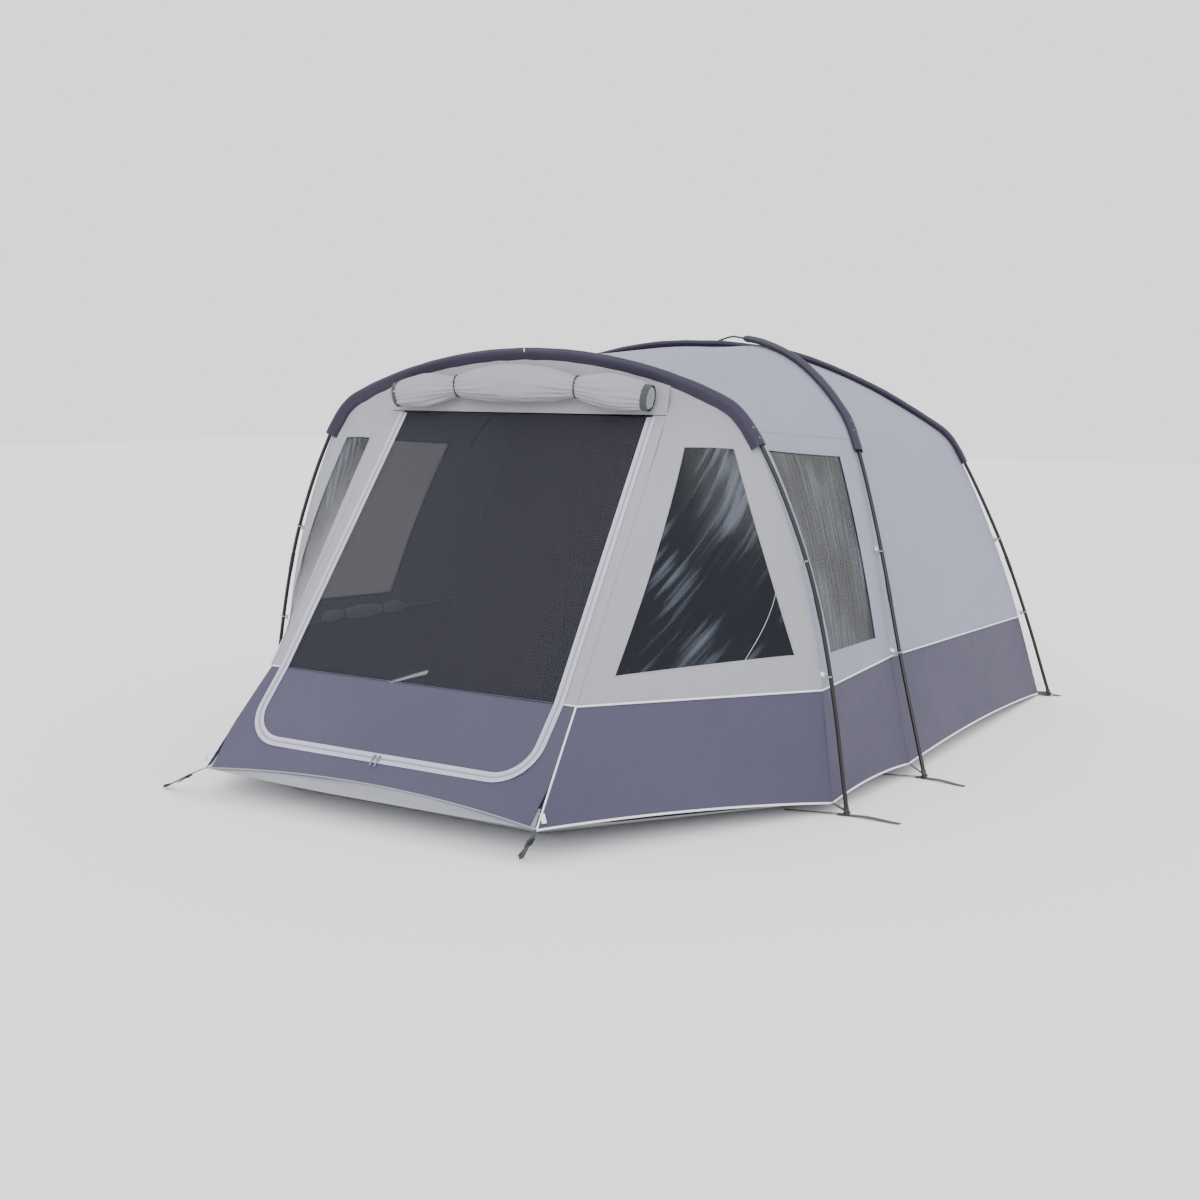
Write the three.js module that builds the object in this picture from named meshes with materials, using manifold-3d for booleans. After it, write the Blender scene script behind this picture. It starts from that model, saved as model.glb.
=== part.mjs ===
// A family camping tent: one square hoop at the front, and two long poles that cross over the roof
// behind it. A cloth fly hangs from the poles, with windows, a dark valance, a U-shaped front door,
// a groundsheet, and a dark bedroom tent under the crossed poles.
// Millimetres. +X is the right side, -Y the front, +Z up. Drawn with y = 0 at the front hoop's feet.
import * as THREE from "three";
import { mergeVertices } from "three/addons/utils/BufferGeometryUtils.js";
import Module from "manifold-3d";

const wasm = await Module();
wasm.setup();

// ---------- driving dimensions ----------
const HOOP_Y = 5;
const CROSSING_Y = 2039;
const CENTRE_Y = 866; // halfway along the whole tent, moved to y = 0 at the end
// Each leg, from the ground up: [x, z] at the foot, the clips, the sleeve's end, and the elbow.
const HOOP_LEG = [[1539, 7], [1451, 563], [1339, 1006], [1136, 1462], [1018, 1632]];
const FRONT_LEG = [[1617, 7], [1428, 535], [1285, 975], [1116, 1400], [1030, 1566]];
const REAR_LEG = [[1632, 7], [1491, 482], [1347, 894], [1164, 1310], [1084, 1462]];
// The roof halves of the crossed poles, from the crossing outwards: [x, z].
const FRONT_ROOF = [[0, 1968], [250, 1951], [450, 1908], [650, 1834], [850, 1715]];
const REAR_ROOF = [[0, 1956], [273, 1903], [445, 1841], [692, 1721], [841, 1631]];
const FRONT_FOOT_Y = 740;
const REAR_FOOT_Y = 2863;
const HOOP_CROWN = 1857;
const ELBOW_REACH = 75; // from the bend to each end of an elbow
const CROSSING_LIFT = 14; // one pole bows over the other where they meet
const CROSSING_SPREAD = 250;
// The share of that lift that each half takes: the over pole bows up, the under pole down.
const OVER_FRONT_LIFT = 1;
const OVER_REAR_LIFT = 1.9;
const UNDER_REAR_LIFT = -1;
const UNDER_FRONT_LIFT = -1.8;

const ROOF_POLE_R = 6;
const ELBOW_R = 7.5;
const LEG_R = 9;
const SLEEVE_WIDE = 25;
const SLEEVE_HIGH = 14;
const SLEEVE_WALL = 2;
const SLEEVE_GAP_X = 185; // the over pole's sleeve stops this far from the crossing

const CLOTH = 3;
const PANE = 2;
const SEAM_INSET = 2; // each panel stops this short of the seam line
const UNDER_SLEEVE = 18; // cloth below the pole's centre line, where a sleeve holds it
const HEM_OFFSET = 42; // further in at the hem than under the sleeve
const WEBBING = 2.4;

// The mud line, where light cloth meets the dark valance, and the hem, at each seam.
const HOOP_MUD_Z = 512;
const FRONT_MUD_Z = 520;
const REAR_MUD_Z = 462;
const HOOP_HEM_Z = 54;
const FRONT_HEM_Z = 72;
const REAR_HEM_Z = 33;

// The sloping front: its fold at the mud line, its corners, and the head of the door.
const FOLD_Y = -828;
const FOLD_Z = 512;
const FOLD_HALF = 765;
const CORNER = new THREE.Vector3(817, -1182, 131);
const HEAD_Y = -36;
const HEAD_Z = 1588;
const HEAD_HALF = 715;
const HEADER_TOP_HALF = 706;
const HEADER_TOP_Y = -8;
const HEADER_TOP_Z = 1722;
const HEADER_CLEARANCE = 4; // between the header and the roof's edge
const ZIP_HEAD_HALF = 646;
const ZIP_FOLD_HALF = 690;
const ZIP_GAP = 3;
const ZIP_BOTTOM = 349; // below the fold, measured down the slope
const ZIP_CORNER = 165; // radius of the U's corners
const HEM_RISE = 58; // the front hem is scooped up this far at the middle

// ---------- small helpers ----------
const vec = (x, y, z) => new THREE.Vector3(x, y, z);
const flip = (point) => vec(-point.x, point.y, point.z);
const tent = new THREE.Group();

const CLOTH_LIGHT = { color: 0xb4b5c0, roughness: 0.85, metalness: 0 };
const CLOTH_FRONT = { color: 0xb9b9bb, roughness: 0.85, metalness: 0 };
const CLOTH_DARK = { color: 0x6a687c, roughness: 0.8, metalness: 0 };
const CLOTH_SLEEVE = { color: 0x55535f, roughness: 0.75, metalness: 0 };
const CLOTH_INNER = { color: 0x2f3038, roughness: 0.9, metalness: 0 };
const MESH_DARK = { color: 0x3a3a42, roughness: 0.9, metalness: 0 };
const PVC = { color: 0x3c4048, roughness: 0.15, metalness: 0 };
const STEEL = { color: 0x1c1c1f, roughness: 0.35, metalness: 0.3 };
const FIBREGLASS = { color: 0x17171a, roughness: 0.4, metalness: 0 };
const STRAP = { color: 0x4c4f52, roughness: 0.8, metalness: 0 };
const SHEETING = { color: 0xa9a9b4, roughness: 0.6, metalness: 0 };
const ZIP_METAL = { color: 0x9a9aa2, roughness: 0.35, metalness: 0.8 };

// Merges a geometry's vertices and turns its faces outwards.
function closed(geometry) {
  geometry.deleteAttribute("normal");
  geometry.deleteAttribute("uv");
  const merged = mergeVertices(geometry, 1e-3);
  const p = merged.attributes.position;
  const index = merged.index.array;
  const corner = [vec(0, 0, 0), vec(0, 0, 0), vec(0, 0, 0)];
  let volume = 0;
  for (let i = 0; i < index.length; i += 3) {
    corner.forEach((c, k) => c.fromBufferAttribute(p, index[i + k]));
    volume += corner[0].dot(corner[1].clone().cross(corner[2]));
  }
  if (volume < 0) {
    for (let i = 0; i < index.length; i += 3) {
      [index[i + 1], index[i + 2]] = [index[i + 2], index[i + 1]];
    }
  }
  return merged;
}

function toSolid(geometry) {
  const merged = closed(geometry);
  return new wasm.Manifold(
    new wasm.Mesh({
      numProp: 3,
      vertProperties: merged.attributes.position.array,
      triVerts: new Uint32Array(merged.index.array),
    }),
  );
}

// One solid with others cut away from it.
function cutAway(geometry, cutters) {
  let solid = toSolid(geometry);
  for (const cutter of cutters) solid = solid.subtract(toSolid(cutter));
  const mesh = solid.getMesh();
  const result = new THREE.BufferGeometry();
  result.setAttribute("position", new THREE.BufferAttribute(new Float32Array(mesh.vertProperties), 3));
  result.setIndex(new THREE.BufferAttribute(new Uint32Array(mesh.triVerts), 1));
  return result;
}

function piece(name, geometry, look) {
  geometry.computeVertexNormals();
  const mesh = new THREE.Mesh(geometry, new THREE.MeshStandardMaterial(look));
  mesh.name = name;
  tent.add(mesh);
  return mesh;
}

// A thin closed sheet laid on surface(u, v), with u and v from 0 to 1. Its two faces fold alike.
function sheet(surface, stepsU, stepsV, thickness = CLOTH) {
  const D = 1e-3;
  const points = [];
  for (const side of [0.5, -0.5]) {
    for (let i = 0; i <= stepsU; i++) {
      for (let j = 0; j <= stepsV; j++) {
        const u = i / stepsU;
        const v = j / stepsV;
        const alongU = surface(u + D, v).sub(surface(u - D, v));
        const alongV = surface(u, v + D).sub(surface(u, v - D));
        const normal = alongU.cross(alongV).normalize();
        points.push(surface(u, v).addScaledVector(normal, side * thickness));
      }
    }
  }
  const back = points.length / 2;
  const at = (i, j) => i * (stepsV + 1) + j;
  const index = [];
  for (let i = 0; i < stepsU; i++) {
    for (let j = 0; j < stepsV; j++) {
      const [a, b, c, d] = [at(i, j), at(i + 1, j), at(i + 1, j + 1), at(i, j + 1)];
      index.push(a, b, c, a, c, d);
      index.push(back + a, back + c, back + b, back + a, back + d, back + c);
    }
  }
  const rim = [];
  for (let i = 0; i < stepsU; i++) rim.push(at(i, 0));
  for (let j = 0; j < stepsV; j++) rim.push(at(stepsU, j));
  for (let i = stepsU; i > 0; i--) rim.push(at(i, stepsV));
  for (let j = stepsV; j > 0; j--) rim.push(at(0, j));
  rim.forEach((p, k) => {
    const q = rim[(k + 1) % rim.length];
    index.push(back + p, back + q, q, back + p, q, p);
  });
  const geometry = new THREE.BufferGeometry().setFromPoints(points);
  geometry.setIndex(index);
  return closed(geometry);
}

// The surface of straight lines between two ribs, which are lists of points of equal length.
function between(ribA, ribB, inset = SEAM_INSET) {
  const spans = ribA.length - 1;
  return (u, v) => {
    const k = THREE.MathUtils.clamp(Math.floor(u * spans), 0, spans - 1);
    const f = u * spans - k;
    const a = ribA[k].clone().lerp(ribA[k + 1], f);
    const b = ribB[k].clone().lerp(ribB[k + 1], f);
    const edge = inset / a.distanceTo(b);
    return a.lerp(b, edge + v * (1 - 2 * edge));
  };
}

// The part of a surface inside four [u, v] corners, which run round from low u, low v.
function patch(surface, corners, grow = 0) {
  const [a, b, c, d] = corners;
  return (s, t) => {
    const g = grow + s * (1 - 2 * grow);
    const h = grow + t * (1 - 2 * grow);
    const u = (a[0] * (1 - h) + b[0] * h) * (1 - g) + (d[0] * (1 - h) + c[0] * h) * g;
    const v = (a[1] * (1 - h) + b[1] * h) * (1 - g) + (d[1] * (1 - h) + c[1] * h) * g;
    return surface(u, v);
  };
}

// ---------- pole lines ----------
// A leg and half a roof, as one smooth line from the foot to the middle of the roof.
function halfLine(leg, roof, yAt) {
  const at = ([x, z]) => vec(x, yAt(x), z);
  const bend = at(leg[4]);
  const below = at(leg[3]).sub(bend).setLength(ELBOW_REACH).add(bend);
  const above = at(roof[0]).sub(bend).setLength(ELBOW_REACH).add(bend);
  const elbow = new THREE.QuadraticBezierCurve3(below, bend, above).getPoints(4);
  const line = [...leg.slice(0, 4).map(at), ...elbow, ...roof.map(at)];
  return new THREE.CatmullRomCurve3(line, false, "centripetal");
}

// The height that one crossed pole gains, and the other loses, near the crossing.
const nearCrossing = (x) => CROSSING_LIFT * Math.exp(-((x / CROSSING_SPREAD) ** 2));

function crossHalf(leg, roof, footY, lift) {
  const yAt = (x) => CROSSING_Y + ((footY - CROSSING_Y) * x) / leg[0][0];
  const raised = roof.map(([x, z]) => [x, z + lift * nearCrossing(x)]).reverse();
  return halfLine(leg, raised, yAt);
}

// The radius of the hoop's shallow roof arch, through its elbows and its crown.
function archRadius() {
  const [x, z] = HOOP_LEG[4];
  const drop = HOOP_CROWN - z;
  return (x * x + drop * drop) / (2 * drop);
}

const ARCH_STATIONS = [850, 680, 510, 340, 170, 0];

function hoopHalf() {
  const radius = archRadius();
  const arch = (x) => HOOP_CROWN - radius + Math.sqrt(radius * radius - x * x);
  const roof = ARCH_STATIONS.map((x) => [x, arch(x)]);
  return halfLine(HOOP_LEG, roof, () => HOOP_Y);
}

// Outwards from the cloth at a point of a pole: away from the tent's long middle line, and behind
// the crossing away from the crossing itself.
function outward(point, tangent) {
  const hub = vec(0, Math.min(point.y, CROSSING_Y), 700);
  const out = point.clone().sub(hub);
  return out.addScaledVector(tangent, -out.dot(tangent)).normalize();
}

// A whole pole: the right half's points from the foot up, then the left half's down to the foot.
function wholeLine(right, left) {
  const up = right.getSpacedPoints(48);
  const down = left.getSpacedPoints(48).map(flip).reverse();
  up.pop();
  down.shift();
  const top = right.getPoint(1).lerp(flip(left.getPoint(1)), 0.5);
  return new THREE.CatmullRomCurve3([...up, top, ...down], false, "centripetal");
}

// How far along a line the first point is that passes a test, from 0 to 1.
function first(line, test) {
  const SAMPLES = 2000;
  for (let i = 0; i <= SAMPLES; i++) {
    if (test(line.getPointAt(i / SAMPLES))) return i / SAMPLES;
  }
  return 1;
}

// A closed bar or tube of the given section, swept along part of a line.
function sweep(section, line, from, to, steps, across = outward) {
  const geometry = new THREE.ExtrudeGeometry(section, {
    depth: 1,
    steps,
    curveSegments: 3,
    bevelEnabled: false,
  });
  const p = geometry.attributes.position;
  for (let i = 0; i < p.count; i++) {
    const t = from + (to - from) * p.getZ(i);
    const centre = line.getPointAt(t);
    const tangent = line.getTangentAt(t);
    const out = across(centre, tangent);
    const side = tangent.clone().cross(out);
    centre.addScaledVector(side, p.getX(i)).addScaledVector(out, p.getY(i));
    p.setXYZ(i, centre.x, centre.y, centre.z);
  }
  return closed(geometry);
}

function roundSection(radius) {
  const section = new THREE.Shape();
  section.absarc(0, 0, radius, 0, 2 * Math.PI);
  return new THREE.Shape(section.getPoints(4).slice(0, -1));
}

function ovalOutline(wide, high) {
  const outline = new THREE.Path();
  outline.absellipse(0, 0, wide, high, 0, 2 * Math.PI);
  return outline.getPoints(4).slice(0, -1);
}

function sleeveSection() {
  const section = new THREE.Shape(ovalOutline(SLEEVE_WIDE, SLEEVE_HIGH));
  const bore = ovalOutline(SLEEVE_WIDE - SLEEVE_WALL, SLEEVE_HIGH - SLEEVE_WALL);
  section.holes.push(new THREE.Path(bore));
  return section;
}

// ---------- poles and sleeves ----------
// The five lengths of one pole: leg, elbow, roof, elbow, leg, which meet with a hair's gap.
function pole(name, line, ends, legZ, elbowX) {
  const gap = 0.6 / line.getLength();
  const marks = [
    0,
    first(line, (q) => q.z > legZ[0]),
    first(line, (q) => q.x < elbowX[0]),
    first(line, (q) => q.x < -elbowX[1]),
    1 - first(wholeReversed(line), (q) => q.z > legZ[1]),
    1,
  ];
  const lengths = [
    [`${name}_leg_${ends[0]}`, LEG_R, 8, STEEL],
    [`${name}_elbow_${ends[0]}`, ELBOW_R, 5, STEEL],
    [`${name}_roof_pole`, ROOF_POLE_R, 22, FIBREGLASS],
    [`${name}_elbow_${ends[1]}`, ELBOW_R, 5, STEEL],
    [`${name}_leg_${ends[1]}`, LEG_R, 8, STEEL],
  ];
  lengths.forEach(([pieceName, radius, steps, look], k) => {
    const section = roundSection(radius);
    piece(pieceName, sweep(section, line, marks[k] + gap, marks[k + 1] - gap, steps), look);
  });
}

function wholeReversed(line) {
  return new THREE.CatmullRomCurve3([...line.points].reverse(), false, "centripetal");
}

function sleeve(name, line, from, to, steps) {
  piece(name, sweep(sleeveSection(), line, from, to, steps), CLOTH_SLEEVE);
}

const hoopLine = wholeLine(hoopHalf(), hoopHalf());
const overLine = wholeLine(
  crossHalf(FRONT_LEG, FRONT_ROOF, FRONT_FOOT_Y, OVER_FRONT_LIFT),
  crossHalf(REAR_LEG, REAR_ROOF, REAR_FOOT_Y, OVER_REAR_LIFT),
);
const underLine = wholeLine(
  crossHalf(REAR_LEG, REAR_ROOF, REAR_FOOT_Y, UNDER_REAR_LIFT),
  crossHalf(FRONT_LEG, FRONT_ROOF, FRONT_FOOT_Y, UNDER_FRONT_LIFT),
);
// The legs stop inside the sleeve's end, and the elbows reach a little way along the roof.
const LEG_UP = 40;
const ELBOW_IN = 70;
const legTop = (leg) => leg[3][1] + LEG_UP;
const elbowEnd = (leg) => leg[4][0] - ELBOW_IN;

function makePoles() {
  const both = (a, b, of) => [of(a), of(b)];
  pole(
    "front_hoop",
    hoopLine,
    ["right", "left"],
    both(HOOP_LEG, HOOP_LEG, legTop),
    both(HOOP_LEG, HOOP_LEG, elbowEnd),
  );
  pole(
    "over_pole",
    overLine,
    ["front_right", "rear_left"],
    both(FRONT_LEG, REAR_LEG, legTop),
    both(FRONT_LEG, REAR_LEG, elbowEnd),
  );
  pole(
    "under_pole",
    underLine,
    ["rear_right", "front_left"],
    both(REAR_LEG, FRONT_LEG, legTop),
    both(REAR_LEG, FRONT_LEG, elbowEnd),
  );
}

function makeSleeves() {
  const start = (line, leg) => first(line, (q) => q.z > leg[3][1]);
  const finish = (line, leg) => 1 - first(wholeReversed(line), (q) => q.z > leg[3][1]);
  sleeve("front_hoop_sleeve", hoopLine, start(hoopLine, HOOP_LEG), finish(hoopLine, HOOP_LEG), 30);
  sleeve("under_pole_sleeve", underLine, start(underLine, REAR_LEG), finish(underLine, FRONT_LEG), 36);
  const gapFrom = first(overLine, (q) => q.x < SLEEVE_GAP_X);
  const gapTo = first(overLine, (q) => q.x < -SLEEVE_GAP_X);
  sleeve("over_pole_sleeve_front", overLine, start(overLine, FRONT_LEG), gapFrom, 18);
  sleeve("over_pole_sleeve_rear", overLine, gapTo, finish(overLine, REAR_LEG), 18);
}

// ---------- cloth ribs: the seam lines that follow the poles ----------
const LEG_STATIONS = [0, 1 / 3, 2 / 3, 1];
const ROOF_STATIONS = 8;

// The cloth's line along a half pole: [below the mud line, above it], from the hem to the middle.
function ribOf(half, leg, hemZ, mudZ, lastX) {
  const clothAt = (t) => {
    const point = half.getPointAt(t);
    const low = THREE.MathUtils.clamp(1 - point.z / leg[3][1], 0, 1);
    const away = UNDER_SLEEVE + HEM_OFFSET * low;
    return point.addScaledVector(outward(point, half.getTangentAt(t)), -away);
  };
  const atZ = (z) => clothAt(first(half, (q) => q.z > z));
  const endZ = leg[3][1];
  const wall = LEG_STATIONS.map((f) => atZ(mudZ + f * (endZ - mudZ)));
  const elbow = first(half, (q) => q.x < leg[4][0] + 8);
  const over = first(half, (q) => q.x < lastX);
  const roof = [];
  for (let k = 0; k <= ROOF_STATIONS; k++) {
    roof.push(clothAt(elbow + ((over - elbow) * k) / ROOF_STATIONS));
  }
  return { hem: atZ(hemZ), mud: wall[0], wall, roof };
}

// How far from the middle the last seam point is on the crossed poles, and on the hoop.
const MIDDLE_X = 40;
const HOOP_MIDDLE_X = 12;
const hoopRib = ribOf(hoopHalf(), HOOP_LEG, HOOP_HEM_Z, HOOP_MUD_Z, HOOP_MIDDLE_X);
const frontRib = ribOf(
  crossHalf(FRONT_LEG, FRONT_ROOF, FRONT_FOOT_Y, UNDER_FRONT_LIFT),
  FRONT_LEG,
  FRONT_HEM_Z,
  FRONT_MUD_Z,
  MIDDLE_X,
);
const rearRib = ribOf(
  crossHalf(REAR_LEG, REAR_ROOF, REAR_FOOT_Y, UNDER_REAR_LIFT),
  REAR_LEG,
  REAR_HEM_Z,
  REAR_MUD_Z,
  MIDDLE_X,
);
// The seam between the sloping front and the side, from the fold up to the hoop.
const frontSeam = [0, 1 / 3, 2 / 3, 1].map((f) =>
  vec(FOLD_HALF, FOLD_Y, FOLD_Z).lerp(vec(HEAD_HALF, HEAD_Y, HEAD_Z), f),
);
frontSeam.push(vec(HEADER_TOP_HALF, HEADER_TOP_Y, HEADER_TOP_Z));

// ---------- fly panels ----------
const SHOULDER = 0.45; // the roof's seam, between the sleeve's end and the elbow

function shoulderOf(rib) {
  return rib.wall[3].clone().lerp(rib.roof[0], SHOULDER);
}

const JUST_ABOVE = 3; // gap between a wall and the valance or roof that it joins
const rise = (point, by) => vec(point.x, point.y, point.z + by);

// The light wall between two ribs, from the mud line to the shoulder seam.
function wallRib(rib) {
  const [mud, ...above] = rib.wall;
  return [rise(mud, JUST_ABOVE), ...above, rise(shoulderOf(rib), -JUST_ABOVE)];
}

function roofRib(rib) {
  return [rise(shoulderOf(rib), JUST_ABOVE), ...rib.roof];
}

// Window corners as [u, v] on their wall: u from the mud line up, v from front to back.
const WING_WINDOW = [[0.066, 0.12], [0.103, 0.896], [0.718, 0.716], [0.672, 0.23]];
const BAY_WINDOW = [[0.104, 0.171], [0.082, 0.826], [0.868, 0.809], [0.882, 0.082]];
const CUTTER = 60;
const VALANCE_STEPS = 3;
const PANE_INSET = 0.004;

function windowedWall(name, ribA, ribB, corners, look, steps) {
  const surface = between(ribA, ribB);
  const hole = sheet(patch(surface, corners), 4, 2, CUTTER);
  piece(`${name}_wall`, cutAway(sheet(surface, steps, 3), [hole]), look);
  piece(`${name}_window`, sheet(patch(surface, corners, PANE_INSET), 4, 2, PANE), PVC);
}

function makeSide(side, mirror) {
  const m = (points) => points.map(mirror);
  const wing = [rise(hoopRib.wall[0], JUST_ABOVE), ...hoopRib.wall.slice(1), hoopRib.roof[0]];
  const seam = [rise(frontSeam[0], JUST_ABOVE), ...frontSeam.slice(1)];
  windowedWall(`front_wing_${side}`, m(seam), m(wing), WING_WINDOW, CLOTH_FRONT, 4);
  windowedWall(`bay_${side}`, m(wallRib(hoopRib)), m(wallRib(frontRib)), BAY_WINDOW, CLOTH_LIGHT, 4);
  const dome = (rib) => [...wallRib(rib).slice(0, 4), ...rib.roof];
  piece(`dome_side_${side}`, sheet(between(m(dome(frontRib)), m(dome(rearRib))), 12, 2), CLOTH_LIGHT);

  const low = (rib) => [rib.hem, rise(rib.mud, -JUST_ABOVE)];
  const corner = [CORNER, rise(frontSeam[0], -JUST_ABOVE)];
  const skirt = (a, b) => sheet(between(m(a), m(b)), VALANCE_STEPS, VALANCE_STEPS);
  piece(`wing_valance_${side}`, skirt(corner, low(hoopRib)), CLOTH_DARK);
  piece(`bay_valance_${side}`, skirt(low(hoopRib), low(frontRib)), CLOTH_DARK);
  piece(`dome_valance_${side}`, skirt(low(frontRib), low(rearRib)), CLOTH_DARK);
}

function makeRoofAndRear() {
  const arch = (rib) => [...roofRib(rib), ...roofRib(rib).map(flip).reverse()];
  piece("front_roof", sheet(between(arch(hoopRib), arch(frontRib)), 19, 2), CLOTH_LIGHT);
  const back = [...wallRib(rearRib).slice(0, 4), ...rearRib.roof];
  piece("rear_panel", sheet(between(back, back.map(flip)), 12, 2), CLOTH_LIGHT);
  const low = [rearRib.hem, rise(rearRib.mud, -JUST_ABOVE)];
  piece("rear_valance", sheet(between(low, low.map(flip)), 1, 2), CLOTH_DARK);
}

// ---------- the sloping front ----------
const UPPER_SLOPE = Math.atan2(HEAD_Z - FOLD_Z, HEAD_Y - FOLD_Y);
const UPPER_LENGTH = Math.hypot(HEAD_Z - FOLD_Z, HEAD_Y - FOLD_Y);
const LOWER_SLOPE = Math.atan2(FOLD_Z - CORNER.z, FOLD_Y - CORNER.y);
const LOWER_LENGTH = Math.hypot(FOLD_Z - CORNER.z, FOLD_Y - CORNER.y);

// Extrudes a flat outline, drawn as x and distance up the slope from the fold, on a front plane.
function onSlope(outline, slope, thickness, proud = 0) {
  const geometry = new THREE.ExtrudeGeometry(outline, {
    depth: thickness,
    bevelEnabled: false,
    curveSegments: 5,
  });
  geometry.translate(0, 0, proud - thickness / 2);
  geometry.rotateX(slope);
  geometry.translate(0, FOLD_Y, FOLD_Z);
  return closed(geometry);
}

const outlineOf = (points) => new THREE.Shape(points.map(([x, y]) => new THREE.Vector2(x, y)));

function makePosts() {
  for (const [side, s] of [["right", 1], ["left", -1]]) {
    const outline = outlineOf([
      [s * (ZIP_FOLD_HALF + ZIP_GAP), JUST_ABOVE],
      [s * (FOLD_HALF - JUST_ABOVE), JUST_ABOVE],
      [s * (HEAD_HALF - JUST_ABOVE), UPPER_LENGTH - JUST_ABOVE],
      [s * (ZIP_HEAD_HALF + ZIP_GAP), UPPER_LENGTH - JUST_ABOVE],
    ]);
    piece(`front_post_${side}`, onSlope(outline, UPPER_SLOPE, CLOTH), CLOTH_FRONT);
  }
}

// The cloth between the door's head and the hoop, with an arched top edge.
function makeHeader() {
  const lean = Math.atan2(HOOP_CROWN - HEAD_Z, HEADER_TOP_Y - HEAD_Y);
  const below = UNDER_SLEEVE + HEADER_CLEARANCE;
  const radius = archRadius() - below;
  const crown = (HOOP_CROWN - below - HEAD_Z) / Math.sin(lean);
  const half = HEADER_TOP_HALF - HEADER_CLEARANCE;
  const start = Math.acos(half / radius);
  const outline = new THREE.Shape();
  outline.moveTo(-half, JUST_ABOVE);
  outline.lineTo(half, JUST_ABOVE);
  outline.absarc(0, crown - radius, radius, start, Math.PI - start);
  const geometry = new THREE.ExtrudeGeometry(outline, {
    depth: CLOTH,
    bevelEnabled: false,
    curveSegments: 12,
  });
  geometry.rotateX(lean);
  geometry.translate(0, HEAD_Y, HEAD_Z);
  piece("front_header", closed(geometry), CLOTH_FRONT);
}

// Half of the zip's U below the fold, from the fold down to the middle: grow widens it.
function zipPath(shape, grow) {
  const half = ZIP_FOLD_HALF + grow;
  const bottom = -ZIP_BOTTOM - grow;
  const r = ZIP_CORNER;
  shape.lineTo(half, bottom + r);
  shape.absarc(half - r, bottom + r, r, 0, -Math.PI / 2, true);
  shape.lineTo(-half + r, bottom);
  shape.absarc(-half + r, bottom + r, r, -Math.PI / 2, -Math.PI, true);
}

// The dark panel round the foot of the door, with a scooped hem.
function makeFrontValance() {
  const half = ZIP_FOLD_HALF + ZIP_GAP;
  const outer = FOLD_HALF - JUST_ABOVE;
  const outline = new THREE.Shape();
  outline.moveTo(-outer, -JUST_ABOVE);
  outline.lineTo(-CORNER.x + JUST_ABOVE, -LOWER_LENGTH);
  outline.quadraticCurveTo(0, -LOWER_LENGTH + 2 * HEM_RISE, CORNER.x - JUST_ABOVE, -LOWER_LENGTH);
  outline.lineTo(outer, -JUST_ABOVE);
  outline.lineTo(half, -JUST_ABOVE);
  zipPath(outline, ZIP_GAP);
  outline.lineTo(-half, -JUST_ABOVE);
  piece("front_valance", onSlope(outline, LOWER_SLOPE, CLOTH), CLOTH_DARK);
}

function makeDoor() {
  const mesh = outlineOf([
    [-ZIP_FOLD_HALF + ZIP_GAP, JUST_ABOVE],
    [ZIP_FOLD_HALF - ZIP_GAP, JUST_ABOVE],
    [ZIP_HEAD_HALF - ZIP_GAP, UPPER_LENGTH - JUST_ABOVE],
    [-ZIP_HEAD_HALF + ZIP_GAP, UPPER_LENGTH - JUST_ABOVE],
  ]);
  piece("door_mesh", onSlope(mesh, UPPER_SLOPE, PANE), MESH_DARK);
  const half = ZIP_FOLD_HALF - ZIP_GAP;
  const lower = new THREE.Shape();
  lower.moveTo(-half, -JUST_ABOVE);
  lower.lineTo(half, -JUST_ABOVE);
  zipPath(lower, -ZIP_GAP);
  piece("door_lower_panel", onSlope(lower, LOWER_SLOPE, CLOTH), CLOTH_DARK);
}

// Two sliders on the bottom run of the zip, each a small body with its puller hanging below.
const SLIDER = { half: 7, above: 26, below: 10, thick: 7, proud: 6.5, apart: 12 };
const PULLER = { half: 3, long: 30 };

function makeSliders() {
  const top = -ZIP_BOTTOM + SLIDER.above;
  const foot = -ZIP_BOTTOM - SLIDER.below;
  for (const [side, s] of [["right", 1], ["left", -1]]) {
    const x = s * SLIDER.apart;
    const outline = outlineOf([
      [x - SLIDER.half, top],
      [x - SLIDER.half, foot],
      [x - PULLER.half, foot - PULLER.long],
      [x + PULLER.half, foot - PULLER.long],
      [x + SLIDER.half, foot],
      [x + SLIDER.half, top],
    ]);
    piece(`zip_slider_${side}`, onSlope(outline, LOWER_SLOPE, SLIDER.thick, SLIDER.proud), ZIP_METAL);
  }
}

// The outer door, rolled up and tied under the hoop: half its length, and half its thickness.
const ROLL = { half: 672, y: -88, endZ: 1652, bow: 62, high: 52, deep: 44 };

function makeRolledDoor() {
  const roll = new THREE.Shape(ovalOutline(ROLL.high, ROLL.deep));
  const line = new THREE.QuadraticBezierCurve3(
    vec(ROLL.half, ROLL.y, ROLL.endZ),
    vec(0, ROLL.y, ROLL.endZ + 2 * ROLL.bow),
    vec(-ROLL.half, ROLL.y, ROLL.endZ),
  );
  const up = (point, tangent) => vec(0, -1, 0).addScaledVector(tangent, tangent.y).normalize();
  piece("rolled_outer_door", sweep(roll, line, 0, 1, 10, up), CLOTH_FRONT);
}

// ---------- floor, bedroom and webbing ----------
// The groundsheet is a shallow tub: rows from front to back of its floor, and of its raised edge.
const TUB = [
  { y: -1158, floor: [600, 126], edge: [775, 126] },
  { y: -860, floor: [620, 2], edge: [960, 100] },
  { y: 20, floor: [1290, 2], edge: [1446, 46] },
  { y: 740, floor: [1420, 2], edge: [1512, 58] },
  { y: 2700, floor: [1500, 2], edge: [1546, 28] },
  { y: 2800, floor: [1500, 28], edge: [1546, 28] },
];

const TUB_THICK = 4;
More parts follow.
